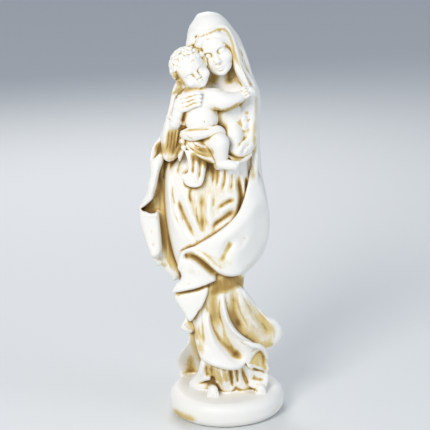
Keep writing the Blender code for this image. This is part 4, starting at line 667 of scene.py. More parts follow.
# Heads are drawn upright about the middle between the ears: level, half width, front, back
motherFace = [
    (-14.6, 3.0, -9.8, -4), (-13.8, 4.8, -11.8, -1), (-12.2, 6.5, -12.6, 2), (-10.2, 7.9, -12.4, 5),
    (-8.0, 8.9, -12.4, 8), (-5.0, 9.8, -12.4, 10), (-2.0, 10.3, -12.2, 12), (1.0, 10.4, -12.0, 13),
    (4.0, 10.4, -12.8, 13.5), (8.0, 10.3, -12.4, 13.5), (11.0, 9.6, -10.8, 13), (14.0, 7.4, -7.6, 11),
    (16.0, 4.0, -4.0, 7),
]
childFace = [
    (-11.6, 2.2, -7.8, -2), (-10.6, 4.4, -9.4, 1), (-8.6, 6.4, -9.9, 4), (-6.0, 8.2, -9.8, 7),
    (-3.0, 9.2, -9.6, 9.5), (0.0, 9.7, -9.9, 11), (3.0, 10.0, -10.6, 12), (6.0, 9.8, -10.4, 12),
    (9.0, 8.4, -8.6, 10.5), (11.0, 6.0, -6.0, 8), (12.4, 3.0, -2.5, 4.5),
]


def addMotherHead(clay, pose):
    clay.add(pose.ball((0, 3.0, 4.6), (12.4, 13.4, 13.4)), 2.0)
    # Hair under the veil's rim and beside the face
    addBall(clay, (-13.4, 263.4, -13.0), (4.0, 5.0, 4.4), 1.6)
    addLimb(clay, [(-13.4, 259.6, -12.6), (-10.4, 263.0, -15), (-3, 266.0, -17), (4, 268.0, -17),
        (9, 264, -16), (11.4, 257, -14.5), (13.0, 249, -13.5), (15.6, 241, -13.5), (19.0, 234, -13.5),
        (22, 229, -13)], (2.4, 3.2, 3.4, 3.2, 3.0, 3.0, 2.8, 2.6, 2.2, 1.4), 1.6)
    # Between the two heads
    addBall(clay, (-12.4, 252.5, -14), (3.4, 6, 5), 1.6)
    addBall(clay, (-15.0, 261.0, -11), (4.5, 6, 6), 1.6)
    clay.add(pose.body(motherFace), 1.0)
    for side in (-1, 1):
        clay.cut(pose.ball((4.4 * side, -13.4, 0.6), (3.4, 2.8, 2.1)), 1.6)
        clay.add(pose.ball((4.3 * side, -8.9, 0.1), (2.5, 2.5, 2.2)), 0.5)
        clay.add(pose.ball((4.35 * side, -8.9, 1.0), (2.8, 2.6, 1.9)), 0.5)
        clay.add(pose.ball((5.3 * side, -8.0, -4.6), (3.9, 3.3, 3.9)), 2.6)
        # Hair, parted in the middle and drawn back at the temples
        clay.add(pose.tube([(0.4 * side, -9.6, 12.6), (5.4 * side, -9.6, 10.6), (9.6 * side, -6.8, 5.6),
                            (11.0 * side, -3.2, -2.0)], (1.6, 2.3, 2.5, 2.2)), 1.6)
    clay.add(pose.tube([(0, -11.5, 3.2), (0, -12.2, -0.8), (0, -13.3, -4.5)], (1.1, 1.1, 1.4)), 2.0)
    clay.add(pose.tube([(-2.4, -11.7, -8.7), (0, -12.7, -8.6), (2.4, -11.7, -8.7)], (0.5, 0.85, 0.5)), 0.9)
    clay.add(pose.tube([(-1.8, -11.7, -10.1), (0, -12.5, -10.2), (1.8, -11.7, -10.1)], (0.5, 0.95, 0.5)),
             0.9)
    clay.add(pose.ball((0, -10.9, -13.0), (2.7, 2.1, 1.9)), 1.8)


def addChildHead(clay, pose):
    clay.add(pose.body(childFace), 2.0)
    for side in (-1, 1):
        clay.cut(pose.ball((3.8 * side, -10.9, -1.2), (2.9, 2.6, 1.7)), 1.3)
        clay.add(pose.ball((3.8 * side, -7.0, -1.6), (2.1, 2.1, 1.9)), 0.5)
        clay.add(pose.ball((3.8 * side, -6.9, -0.9), (2.3, 2.15, 1.6)), 0.5)
        clay.add(pose.ball((4.9 * side, -6.4, -5.4), (3.5, 3.2, 3.2)), 1.8)
        clay.add(pose.ball((9.7 * side, 0.6, -2.6), (1.5, 2.1, 2.7)), 0.8)
    clay.add(pose.tube([(0, -9.4, -0.8), (0, -10.4, -3.8)], (0.9, 1.2)), 1.2)
    clay.add(pose.tube([(-1.7, -9.2, -6.8), (0, -10.1, -6.6), (1.7, -9.2, -6.8)], (0.4, 0.8, 0.4)), 0.7)
    clay.add(pose.tube([(-1.4, -9.1, -8.0), (0, -9.8, -8.1), (1.4, -9.1, -8.0)], (0.4, 0.8, 0.4)), 0.7)
    clay.add(pose.ball((0, -8.4, -10.2), (2.0, 1.6, 1.4)), 1.4)
    # Hair: a cap over the crown and the back, rough with short locks
    clay.add(pose.ball((0, 3.4, 4.4), (10.8, 10.8, 10.0)), 0.8)
    for place, _ in childLocks():
        clay.add(pose.ball(place, (2.1, 2.1, 1.9)), 1.2)


# Places of the locks of hair on the child's head, evenly strewn, each with its own turn
def childLocks():
    locks = []
    count = 110
    for step in range(count):
        height = 1.0 - 2.0 * (step + 0.5) / count
        angle = step * math.pi * (3.0 - math.sqrt(5.0))
        reach = math.sqrt(1.0 - height * height)
        x, y, z = 10.3 * reach * math.sin(angle), 2.4 - 11.0 * reach * math.cos(angle), 3.2 + 10.0 * height
        if z > -5.0 and y + 0.75 * z > -0.6 - 0.1 * abs(x):
            locks.append(((x, y, z), angle))
    return locks


def addChild(clay):
    clay.add(limb([(-13.5, -22, 230), (-15.5, -21.5, 240)], (6.5, 6.2)), 2.0)
    # Chest, belly and shoulders
    addBall(clay, (-11.5, 221.5, -24), (11.8, 10.5, 11.5), 2.0)
    addBall(clay, (-10.8, 211, -26), (11.0, 10.0, 10.5), 3.0)
    addBall(clay, (-16.5, 226.5, -23), (7.5, 7.0, 5.5), 2.5)
    # The arm that reaches over the mother's chest
    addLimb(clay, [(-6, 225.4, -27), (-1, 224.6, -29.5), (4.5, 223.0, -31), (11, 223.8, -29.5),
        (16.4, 226.2, -27)], (6.4, 7.0, 6.3, 4.8, 3.2), 1.6)
    addBall(clay, (17.8, 227.2, -26.5), (3.2, 2.4, 3.4), 1.0, turned(roll=-30))
    for row in range(4):
        across, up = 18.8 - 0.9 * row, 225.2 + 1.75 * row
        addLimb(clay, [(across, up, -28), (across + 1.8, up + 0.9, -29), (across + 3.4, up + 1.7, -27.4)],
            (1.0, 0.95, 0.75), 0.4)
    # The thigh and shin, down to the foot that rests on the mother's hand
    addLimb(clay, [(-4.5, 198, -27), (0.4, 194.6, -33)], (6.6, 6.6), 2.0)
    addLimb(clay, [(0.6, 195, -33.5), (1.2, 189, -33), (1.8, 183.4, -32.5)], (6.4, 5.4, 4.0), 1.5)
    addLimb(clay, [(1.4, 180.6, -33), (5.8, 179.8, -34.5), (10.0, 179.2, -34.5)], (3.3, 3.4, 3.2), 1.4)
    for toe in range(5):
        addBall(clay, (12.6 - 0.22 * toe ** 2 / 2, 181.4 - 1.25 * toe, -35.0), (1.5, 1.1, 0.85), 0.4)
    addChildHead(clay, childHead)


# The cloth about the child's waist, slung under the legs and hanging down at the left
def addWrap(clay):
    band = [(-24.8, 203.6), (-20, 205.4), (-12, 205.8), (-4, 206.2), (1, 206.6), (4.6, 203.6), (4.6, 199.6),
        (0, 200.4), (-5, 199.2), (-11, 197.6), (-17, 196.6), (-22, 197.6), (-25.4, 200)]
    folds = (
        ([(-26, 202.4), (-18, 203.6), (-8, 204.0), (3, 204.6)], 1.6, -1.0),
        ([(-25, 200.4), (-18, 200.2), (-9, 200.8), (0, 202.4)], 2.4, 0.9),
    )
    addCloth(clay, band, bowed(-36.6, -8.5, 0.034, 0.036), 12.0, 2.4, folds, -26.0, 1.0)
    addBall(clay, (-11, 193, -22), (11.5, 9, 9), 2.0)
    addBall(clay, (-5.5, 190.5, -24), (8.5, 7.6, 6.5), 2.0)
    # The cloth slung under the thigh, with folds that radiate from the knot at the left
    sling = [(-24, 199), (-14, 197), (-4, 198.5), (0, 192), (-1.4, 184), (-3, 181), (-9, 182.5),
        (-15, 185.5), (-20.4, 190)]
    folds = (
        ([(-23.4, 198.6), (-20.6, 192.6), (-16, 188.2), (-9.6, 184.8), (-4, 183.2)], 1.7, 2.0),
        ([(-21.6, 197.8), (-18.4, 193.4), (-14, 190), (-8.8, 187.4)], 1.3, 1.4),
        ([(-19.4, 196.6), (-15.6, 192.8), (-11, 190.4)], 1.2, 1.2),
        ([(-16.6, 196.2), (-12.6, 193.6), (-8, 192.2)], 1.2, 1.2),
        ([(-18, 194.6), (-13, 191.4), (-6.5, 189)], 2.6, -1.4),
        ([(-14, 196.6), (-9, 195.4), (-5, 192.4), (-4.4, 187)], 3.0, -1.8),
    )
    addCloth(clay, sling, bowed(-31.6, -11, 0.045, 0.0), 14, 2.0, folds, -22.0, 0.9)
    # The knot and the gathered cloth beside it
    addBall(clay, (-24.0, 196.4, -27), (2.0, 2.4, 2.2), 0.9)
    addBall(clay, (-23.2, 192.4, -28), (1.7, 2.0, 2.4), 0.9, turned(roll=25))
    for start, end, width in (((-24.6, 195), (-30.6, 184.6), 1.0), ((-23.4, 192), (-26.0, 183.4), 1.2)):
        middle = ((start[0] + end[0]) / 2 - 0.8, (start[1] + end[1]) / 2 - 0.4)
        addLimb(clay, [(*start, -26), (*middle, -26.5), (*end, -24.5)], (width, 1.3 * width, 0.6 * width),
            1.2)
    end = [(-22.6, 190.5), (-16, 190), (-9.4, 186.4), (-8.2, 181), (-9.2, 175), (-10.6, 169),
        (-12.8, 165.6), (-18, 164.8), (-22.4, 166.8), (-24.2, 170.6), (-22.6, 174), (-20.6, 176.4),
        (-20.8, 183)]
    folds = (
        ([(-17.0, 188), (-17.2, 180), (-18.0, 172)], 2.0, -1.3),
        ([(-12.6, 186), (-12.8, 177), (-14.2, 168)], 2.0, -1.3),
        ([(-15, 188), (-15, 178), (-16, 168)], 2.0, 0.9),
        ([(-10.2, 184), (-10.8, 176), (-12, 168)], 1.8, 0.8),
    )
    addCloth(clay, end, bowed(-32.2, -16, 0.03, 0.03), 9.0, 1.4, folds, -24.0, 0.8)
    addBall(clay, (-23.6, 172.2, -29), (2.2, 2.2, 2.4), 0.5)


def addMotherArms(clay):
    # Neck, breast and shoulders
    clay.add(limb([(0, -5, 247), (3.0, -4.4, 236), (3.5, -3.4, 229)], (7.0, 6.4, 8.0)), 2.0)
    clay.add(ellipsoid((6.5, -14.5, 212.5), (11.5, 9.6, 11.0)), 5.0)
    clay.add(ellipsoid((13, -9, 225), (11, 8, 8)), 4.0)
    clay.add(limb([(22.5, -13, 227), (22, -15.5, 214), (22, -16.5, 200)], (3.6, 4.0, 3.6)), 3.0)
    ruffles = Relief(clay)
    ruffles.strokes((
        ([(19.6, 222), (17, 214), (18, 206), (14.4, 200)], 3.0, 1.8),
        ([(22.5, 220), (21.4, 210), (21.6, 202), (20, 195)], 3.0, -1.0),
        ([(13.5, 218), (12.6, 210), (12.0, 203)], 4.0, -0.9),
        ([(17, 215.2), (19.4, 214.2), (21.5, 216)], 1.8, -0.8),
        ([(16.6, 209.6), (19, 208.8), (21.5, 210.6)], 1.8, -0.8),
    ))
    clay.add(relieved(ellipsoid((18.5, -13, 209), (6.0, 7.5, 14.0)), ruffles, -14.0), 3.0)
    # The arm at the viewer's right: elbow, sleeve and the hand below the child
    sleeve = limb([(21, -7, 216), (21, -10, 202), (17.5, -18, 193.0), (12, -24.5, 190.5)],
                  (6.5, 6.8, 7.0, 6.4))
    folds = Relief(clay)
    folds.strokes((
        ([(20, 200), (15, 195), (11.5, 188)], 2.4, -1.2),
        ([(23, 196), (18, 191), (14, 184)], 2.2, -1.0),
    ))
    clay.add(relieved(sleeve, folds, -12.0), 2.5)
    addLimb(clay, [(15, 185, -22), (8, 182, -26), (0, 180, -28)], (4.4, 4.2, 3.6), 1.4)
    addBall(clay, (10, 200, -21), (6.5, 7.0, 8.0), 3.0)
    addLimb(clay, [(6.6, 185.6, -30.5), (11.6, 182.8, -31), (16.8, 182.6, -28), (21.4, 186, -22)],
        (0.9, 1.4, 1.4, 1.0), 0.8)
    clay.cut(limb(traced([(7, 188.6, -36), (11.6, 186.0, -36), (16.6, 185.2, -33), (20.6, 187.6, -26)]),
                  (1.0, 1.5, 1.5, 1.0)), 1.2)
    # The arm at the viewer's left: sleeve, cuff, and the hand laid on the child's side
    clay.add(limb([(-31, -8, 206), (-31, -17, 205), (-28.4, -25, 210)], (4.4, 4.6, 3.7)), 2.0)
    hanging = [(-33.8, 213), (-29, 211.4), (-23.4, 208.4), (-24.2, 203), (-25, 197), (-24.6, 190.5),
        (-28, 185.5), (-33, 183.0), (-36.8, 186), (-37.4, 196), (-36.2, 205)]
    pleats = Relief(clay)
    for start in (-31.8, -29.6, -27.4, -25.2):
        pleats.stroke([(start, 207), (start - 1.4, 198), (start - 3.6, 186)], 1.5, -1.1)
    body = leaf(clay, hanging, bowed(-25.6, -29.5, 0.06, 0.05), 16, 2.4)
    clay.add(relieved(body, pleats, -16.0), 1.2)
    addLimb(clay, [(-33.4, 213.6, -22), (-30, 212.4, -27.5), (-26, 210.4, -29), (-22.8, 208.4, -26)],
        (0.9, 1.2, 1.2, 0.9), 0.5)
    addLimb(clay, [(-28, 209, -26), (-26.4, 215, -28)], (3.7, 3.7), 1.0)
    addBall(clay, (-22.8, 211.5, -19), (4.0, 7, 7), 1.6)
    addBall(clay, (-24.6, 220.6, -28.5), (4.4, 4.2, 6.6), 1.5, turned(roll=-18, yaw=30))
    for row in range(4):
        knuckle, tip = 217.4 + 2.9 * row, 220.6 + 2.6 * row
        addLimb(clay, [(-24.4, knuckle, -29.5), (-20.4, knuckle + 1.2, -33), (-15.6, tip, -35.2),
            (-11.0 - 0.4 * abs(row - 2), tip + 0.5, -35.8)], (1.85, 1.75, 1.55, 1.2), 0.45)
    clay.cut(limb(traced([(-21.4, 214.4, -36), (-22.6, 209, -32), (-23.6, 203, -28)]), (1.2, 1.7, 1.4)), 1.0)


# All forms of the figure, in the order a modeller would lay them on
def sculpt(clay):
    addMantle(clay)
    gown = relieved(loft(gownStations), gownFolds(clay), -6.0)
    back = hangingFolds(clay, (((-24, 116), (-25, 30)), ((-12, 112), (-13, 30)), ((1, 112), (0, 30)),
                                ((12, 110), (15, 30))), 6.0, 2.6)
    gown = relieved(gown, back, 6.0, front=False, soft=12.0)
    clay.add(gown, 1.0)
    addHem(clay)
    addSkirt(clay)
    addSwag(clay)
    addMotherArms(clay)
    addMotherHead(clay, motherHead)
    addChild(clay)
    addWrap(clay)


# From clay to mesh

# The distances made fit to skin: straight walls at the foot, no clay that meets at a point
def settled(clay):
    field = clay.field.copy()
    foot = np.searchsorted(clay.axes[2], drawnFoot + 1.5)
    field[:, :, :foot] = field[:, :, foot:foot + 1]
    field[:, :, 0] = 1.0  # air below, so that the mesh is closed
    inside = field < 0
    ends = (slice(None, -1), slice(1, None))
    changed = True
    while changed:
        changed = False
        for first, second in ((0, 1), (0, 2), (1, 2)):
            planes = np.moveaxis(inside, (first, second), (0, 1))
            a, b, c, d = planes[:-1, :-1], planes[1:, :-1], planes[1:, 1:], planes[:-1, 1:]
            crossed = (a & c & ~b & ~d) | (b & d & ~a & ~c)
            a |= crossed
            b |= crossed
            changed |= bool(crossed.any())
        corners = [inside[ends[i], ends[j], ends[k]] for i in (0, 1) for j in (0, 1) for k in (0, 1)]
        count = sum(corner.astype(np.int8) for corner in corners)
        for one in range(4):
            near, far = corners[one], corners[7 - one]
            touching = (near & far & (count == 2)) | (~near & ~far & (count == 6))
            if touching.any():
                changed = True
                for corner in corners:
                    corner |= touching
                break
    return np.where(inside & (field >= 0), -1e-3, field)


# The clay's surface as a closed mesh of four-sided faces
def skin(clay, name):
    field = settled(clay)
    inside = field < 0
    corners = [(i, j, k) for i in (0, 1) for j in (0, 1) for k in (0, 1)]
    span = [n - 1 for n in field.shape]

    def corner(values, c):
        return values[c[0]:c[0] + span[0], c[1]:c[1] + span[1], c[2]:c[2] + span[2]]

    count = sum(corner(inside, c).astype(np.int8) for c in corners)
    cells = np.argwhere((count > 0) & (count < 8))
    number = np.full(span, -1, np.int64)
    number[tuple(cells.T)] = np.arange(len(cells))
    total, crossings = np.zeros((len(cells), 3)), np.zeros(len(cells))
    for a in corners:
        for b in corners:
            if sum(b) - sum(a) != 1 or any(q < p for p, q in zip(a, b)):
                continue
            first, second = cells + a, cells + b
            here, there = field[tuple(first.T)], field[tuple(second.T)]
            mixed = (here < 0) != (there < 0)
            t = np.where(mixed, here / np.where(mixed, here - there, 1.0), 0.0)[:, None]
            start = np.stack([axis[first[:, n]] for n, axis in enumerate(clay.axes)], axis=1)
            end = np.stack([axis[second[:, n]] for n, axis in enumerate(clay.axes)], axis=1)
            total += np.where(mixed[:, None], start + t * (end - start), 0.0)
            crossings += mixed
    points = total / crossings[:, None]
    faces = []
    for axis in range(3):
        side, up = (axis + 1) % 3, (axis + 2) % 3
        step = np.eye(3, dtype=int)
        here = inside[tuple(slice(0, -1) if n == axis else slice(1, -1) for n in range(3))]
        there = inside[tuple(slice(1, None) if n == axis else slice(1, -1) for n in range(3))]
        edges = np.argwhere(here != there) + step[side] + step[up]
        leaving = inside[tuple(edges.T)]
        ring = [edges - step[side] - step[up], edges - step[up], edges, edges - step[side]]
        quads = np.stack([number[tuple(c.T)] for c in ring], axis=1)
        faces.append(np.where(leaving[:, None], quads, quads[:, ::-1]))
    mesh = bpy.data.meshes.new(name)
    mesh.from_pydata(points.tolist(), [], np.concatenate(faces).tolist())
    return mesh


# Finer carving than the solid keeps: features, hair, fingers and small creases

# A thin groove along a run of places
def scored(clay, points, width, blend):
    clay.cut(limb(points, width), blend)


# The lids run over the ball of the eye and meet at its corners
def fineEye(clay, pose, place, size, side):
    x, y, z = place
    inner, middle, outer = side * (x - 1.02 * size), side * x, side * (x + 1.08 * size)
    # Upper and lower lid: heights at the corners and middle, how far the middle stands back, and widths
    for corner, lift, end, back, widths in ((-0.22, 0.2, -0.14, -0.02, (0.1, 0.15, 0.1)),
                                            (-0.26, -0.5, -0.18, 0.08, (0.08, 0.12, 0.08))):
        clay.add(pose.tube([(inner, y + 0.42 * size, z + corner * size), (middle, y + back * size,
                            z + lift * size), (outer, y + 0.62 * size, z + end * size)],
                           [width * size for width in widths]), 0.2)


def fineMother(clay, pose):
    for side in (-1, 1):
        fineEye(clay, pose, (4.3, -11.4, 0.0), 2.3, side)
        # Brow and the crease of the upper lid
        clay.add(pose.tube([(1.8 * side, -11.9, 3.0), (4.6 * side, -11.6, 3.9), (7.8 * side, -9.6, 2.8)],
                           (0.45, 0.6, 0.3)), 1.4)
        scored(clay, [pose.at(2.2 * side, -11.5, 1.6), pose.at(4.5 * side, -11.5, 2.15),
                      pose.at(6.9 * side, -10.2, 1.3)], 0.28, 0.4)
        # Nostrils and the wings of the nose
        clay.add(pose.ball((1.45 * side, -12.5, -5.0), (0.9, 1.2, 0.85)), 0.7)
        clay.cut(pose.ball((0.8 * side, -13.4, -5.9), (0.42, 0.6, 0.32)), 0.3)
        # Strands of hair from the parting to the temple
        for strand in range(5):
            lift = 0.95 * strand
            clay.add(pose.tube([(0.5 * side, -10.0 + 0.5 * lift, 13.0 + 0.55 * lift),
                                (5.2 * side, -10.6 + 0.7 * lift, 10.8 + 0.85 * lift),
                                (9.2 * side, -8.2 + 0.8 * lift, 5.8 + 0.9 * lift),
                                (11.2 * side + 0.35 * lift * side, -4.6 + 0.9 * lift, -1.0 + 0.7 * lift)],
                               (0.5, 0.85, 0.95, 0.7)), 0.35)
    clay.cut(pose.ball((0, -13.6, -7.1), (0.45, 0.8, 0.8)), 0.5)
    # Lips: a bow above, fuller below, and the line between
    clay.add(pose.tube([(-2.7, -11.4, -8.8), (-1.0, -12.6, -8.25), (0, -12.7, -8.5), (1.0, -12.6, -8.25),
                        (2.7, -11.4, -8.8)], (0.25, 0.6, 0.55, 0.6, 0.25)), 0.5)
    clay.add(pose.tube([(-2.0, -11.6, -9.75), (0, -12.55, -10.05), (2.0, -11.6, -9.75)], (0.3, 0.8, 0.3)),
        0.5)
    scored(clay, [pose.at(-2.8, -11.8, -9.05), pose.at(-1.1, -13.1, -9.0), pose.at(0, -13.4, -9.15),
                  pose.at(1.1, -13.1, -9.0), pose.at(2.8, -11.8, -9.05)], 0.2, 0.3)
    scored(clay, [pose.at(-1.3, -12.6, -11.3), pose.at(0, -12.8, -11.4), pose.at(1.3, -12.6, -11.3)], 0.35,
        0.8)
    scored(clay, [pose.at(0, -11.8, 13.2), pose.at(0, -8.0, 16.6)], 0.5, 0.5)
    # The lock of hair beside the neck, in strands
    for shift in (-1.8, 0.0, 1.8):
        addLimb(clay, [(9.6 + 0.4 * shift, 264, -18.4), (12.0 + 0.5 * shift, 256, -17.2),
            (13.6 + 0.7 * shift, 248, -16), (16.0 + 0.8 * shift, 241, -15.8),
            (19.6 + 0.5 * shift, 234, -15.4), (22.2, 229.6, -14.2)], (0.7, 1.0, 1.1, 1.0, 0.8, 0.4), 0.4)
    # Gathers of the gown at the neck
    for across, foot in ((1.5, 231.5), (4.0, 230.5), (6.4, 231.5), (9.4, 233), (11.6, 235)):
        scored(clay, traced([(across, foot + 7, -14.6), (across + 0.3, foot, -17.2)]), 0.3, 0.6)


def fineChild(clay, pose):
    for side in (-1, 1):
        fineEye(clay, pose, (3.8, -9.15, -1.5), 1.95, side)
        clay.add(pose.tube([(1.6 * side, -9.7, 0.8), (4.2 * side, -9.3, 1.5), (6.6 * side, -7.6, 0.6)],
                           (0.35, 0.5, 0.25)), 1.2)
        clay.add(pose.ball((1.1 * side, -9.8, -4.1), (0.8, 1.0, 0.75)), 0.5)
        clay.cut(pose.ball((0.6 * side, -10.6, -4.9), (0.34, 0.5, 0.3)), 0.25)
        # Ears
        clay.cut(pose.ball((10.9 * side, -0.2, -2.6), (0.9, 1.1, 1.5)), 0.5)
    clay.add(pose.tube([(-1.9, -9.1, -6.7), (-0.75, -10.1, -6.3), (0, -10.15, -6.5), (0.75, -10.1, -6.3),
                        (1.9, -9.1, -6.7)], (0.2, 0.5, 0.45, 0.5, 0.2)), 0.4)
    clay.add(pose.tube([(-1.4, -9.2, -7.6), (0, -10.0, -7.9), (1.4, -9.2, -7.6)], (0.25, 0.65, 0.25)), 0.4)
    scored(clay, [pose.at(-2.0, -9.4, -7.05), pose.at(0, -10.6, -7.1), pose.at(2.0, -9.4, -7.05)], 0.18, 0.25)
    # Each lock is a small hooked curl that lies on the scalp
    middle = np.array([0.0, 2.4, 3.2])
    for place, angle in childLocks():
        place = np.array(place)
        outward = (place - middle) / np.array([10.3, 11.0, 10.0])
        outward = outward / np.linalg.norm(outward)
        side = np.cross(outward, (0.0, 0.35, 1.0))
        side = side / np.linalg.norm(side)
        down = np.cross(outward, side)
        points = []
        for step in range(5):
            turn = 2.1 * angle + 1.15 * step
            reach = 1.75 - 0.28 * step
            points.append(place + outward * (1.25 + 0.16 * step)
                          + (side * math.cos(turn) + down * math.sin(turn)) * reach)
        clay.add(pose.tube(points, (0.75, 0.95, 0.9, 0.75, 0.5)), 0.3)


def fineHands(clay):
    # Grooves between the fingers of the hand on the child's side
    for row in range(3):
        knuckle, tip = 218.8 + 2.9 * row, 222.0 + 2.6 * row
        scored(clay, traced([(-22.6, knuckle, -34.2), (-19.0, knuckle + 1.4, -36.2), (-15.2, tip, -37.0),
                             (-11.2, tip + 0.6, -37.4)]), 0.42, 0.4)
    # Grooves between the fingers of the child's hand
    for row in range(3):
        across, up = 18.4 - 0.9 * row, 226.1 + 1.75 * row
        scored(clay, traced([(across, up, -29.6), (across + 1.8, up + 0.9, -30.4),
            (across + 3.6, up + 1.8, -28.8)]), 0.25, 0.3)
    # Hair pressed between the child's brow and the cheek
    addLimb(clay, [(-11.0, 257.0, -19.6), (-8.8, 252.6, -21.2), (-7.0, 247.8, -22.6)], (1.7, 1.7, 1.4), 1.0)
    # The child's navel
    clay.cut(ellipsoid(placed(-8.6, 209.2, -35.8), (0.6, 0.9, 0.6)), 0.5)


# The bodice flows into the sleeve, and the swag's tip into the mantle's rim
def fineBodice(clay):
    for place, radii in (((14.8, 208.0, -15.6), (3.8, 5.0, 7.0)), ((17.6, 200.0, -15.8), (4.2, 5.0, 5.6))):
        clay.add(ellipsoid(placed(*place), radii), 2.5)
    addLimb(clay, [(23.8, 168.0, -17.0), (24.0, 178.0, -16.2), (24.6, 187.0, -14.2), (25.2, 197.0, -12.0)],
        (1.4, 2.2, 2.0, 1.0), 3.0)


# Small creases and worn pleats, drawn over the whole front in one relief
def fineCreases(clay):
    relief = Relief(clay)
    relief.strokes((
        ([(-34, 172), (-35, 158), (-33.5, 144)], 1.6, -0.5),
        ([(-27, 148), (-25, 139), (-21, 129)], 1.5, -0.5),
        ([(-15.5, 158), (-15.8, 146), (-13.6, 133)], 1.5, -0.5),
        ([(-9, 158), (-9.6, 146), (-9, 134)], 1.4, -0.45),
        ([(-4, 158), (-4.6, 150)], 1.4, -0.4),
        ([(6, 138), (10, 141), (14, 146)], 1.4, -0.4),
        ([(-10.4, 84), (-11.4, 66), (-9, 50)], 1.6, -0.5),
        ([(-16, 86), (-17, 70), (-16, 54)], 1.6, -0.5),
        ([(9, 90), (12, 76), (18, 64)], 1.6, -0.6),
        ([(20, 84), (26, 74), (33, 64)], 1.6, -0.5),
        ([(12, 96), (15.6, 84), (21, 74)], 1.4, -0.5),
        ([(-50.6, 142), (-49.8, 132), (-46.4, 120)], 3.2, -0.5),
        ([(-43.4, 182), (-44.2, 172), (-45.6, 165)], 1.5, -0.5),
        ([(-24, 108), (-20, 103), (-14, 99)], 3.6, -0.25),
    ))
    swell(clay, relief, (-60, -46, 20), (48, 6, 200))


# Raises the clay's front by a relief
def swell(clay, relief, low, high):
    spans, (x, y, z) = clay.window(low, high)
    clay.field[spans] -= relief.over(x, y, z) * eased(-y / 8.0)


def detail(clay):
    fineMother(clay, motherHead)
    fineChild(clay, childHead)
    fineHands(clay)
    fineBodice(clay)
    fineCreases(clay)
    print("details carved")


# The finished piece

statueSettings = {
    "cells": (0.62, 0.42),     # cell size, and that at the heads and hands, in figure units
    "quickCells": (1.0, 0.8),
    "broad": 1.1,              # cell size of the block that finds the broad recesses
    "triangles": 190000,       # of the finished piece
    "baseTriangles": 14000,    # about as many of them as the base takes
    "baseRings": 24,           # rings of faces over the base, so that the wash can fade along it
    "baseSteps": 160,          # faces round the base
    "edgeSteps": 10,           # faces over each rounded edge
}

# The part of the block that is fine: the heads and hands
fineBox = ((-33, 25), (-42, -2), (204, 272))


# Steps that are fine inside the fine part and coarse outside it
def fineAxes():
    coarse, fine = statueSettings["cells"]
    axes = []
    for (low, high), (fineLow, fineHigh) in zip(clayBox, fineBox):
        parts = [np.arange(low, fineLow, coarse), np.arange(fineLow, fineHigh, fine),
                 np.arange(fineHigh, high, coarse)]
        axes.append(np.concatenate(parts).astype(np.float32))
    return axes


def evenAxes(cell):
    return [np.arange(low, high, cell, dtype=np.float32) for low, high in clayBox]


def newObject(name, data):
    item = bpy.data.objects.new(name, data)
    bpy.context.scene.collection.objects.link(item)
    return item


def meshEdges(mesh):
    edges = np.empty(2 * len(mesh.edges), np.int64)
    mesh.edges.foreach_get("vertices", edges)
    return edges.reshape(-1, 2).T


def toWorld(mesh):
    place = Matrix.Translation((drawnOffset * unit, 0, baseHeight - drawnFoot * unit))
    mesh.transform(place @ Matrix.Scale(unit, 4))


# The base, turned about its middle with a rounded edge above and below
def turnedBase():
    inside = baseRadius - baseEdge
    profilePoints = [(0.0, 0.0), (inside, 0.0)]
    steps, rings = statueSettings["edgeSteps"], statueSettings["baseRings"]
    for centre, start in ((baseEdge, -90), (baseHeight - baseEdge, 0)):
        for step in range(steps + 1):
            angle = math.radians(start + 90 * step / steps)
            profilePoints.append((inside + baseEdge * math.cos(angle), centre + baseEdge * math.sin(angle)))
    profilePoints += [(inside * (1 - step / rings), baseHeight) for step in range(1, rings + 1)]
    shape = bmesh.new()
    ring = [shape.verts.new((r, 0, z)) for r, z in profilePoints]
    edges = [shape.edges.new(pair) for pair in zip(ring[:-1], ring[1:])]
    bmesh.ops.spin(shape, geom=ring + edges, cent=(0, 0, 0), axis=(0, 0, 1), angle=math.tau,
                   steps=statueSettings["baseSteps"])
    bmesh.ops.remove_doubles(shape, verts=shape.verts, dist=1e-6)
    bmesh.ops.recalc_face_normals(shape, faces=shape.faces)
    mesh = bpy.data.meshes.new("baseDisc")
    shape.to_mesh(mesh)
    shape.free()
    return newObject("baseDisc", mesh)


# The largest connected shell of a mesh, without loose crumbs
def keepLargest(mesh):
    a, b = meshEdges(mesh)
    group = np.arange(len(mesh.vertices))
    while True:
        low = np.minimum(group[a], group[b])
        merged = group.copy()
        np.minimum.at(merged, a, low)
        np.minimum.at(merged, b, low)
        merged = merged[merged]
        if (merged == group).all():
            break
        group = merged
    main = np.bincount(group).argmax()
    shape = bmesh.new()
    shape.from_mesh(mesh)
    shape.verts.ensure_lookup_table()
    crumbs = [shape.verts[i] for i in np.flatnonzero(group != main)]
    bmesh.ops.delete(shape, geom=crumbs, context="VERTS")
    shape.to_mesh(mesh)
    shape.free()


# Makes a thing's modifiers part of its mesh
def applied(item, name):
    depsgraph = bpy.context.evaluated_depsgraph_get()
    mesh = bpy.data.meshes.new_from_object(item.evaluated_get(depsgraph))
    mesh.name = name
    item.modifiers.clear()
    item.data = mesh


def makeStatue():
    clay = Clay(fineAxes())
    sculpt(clay)
    detail(clay)
    print("clay shaped", clay.field.shape)
    mesh = skin(clay, "statuePiece")
    keepLargest(mesh)
    toWorld(mesh)
    piece = newObject("statuePiece", mesh)
    disc = turnedBase()
    thin = piece.modifiers.new("fewerFaces", "DECIMATE")
    wanted = statueSettings["triangles"] - statueSettings["baseTriangles"]
    thin.ratio = min(1.0, wanted / (2 * len(mesh.polygons)))
    join = piece.modifiers.new("joinedBase", "BOOLEAN")
    join.operation = "UNION"
    join.solver = "EXACT"
    join.object = disc
    applied(piece, "statuePiece")
    bpy.data.objects.remove(disc)
    piece.data.shade_smooth()
    print("surface of", len(piece.data.polygons), "faces")
    return piece


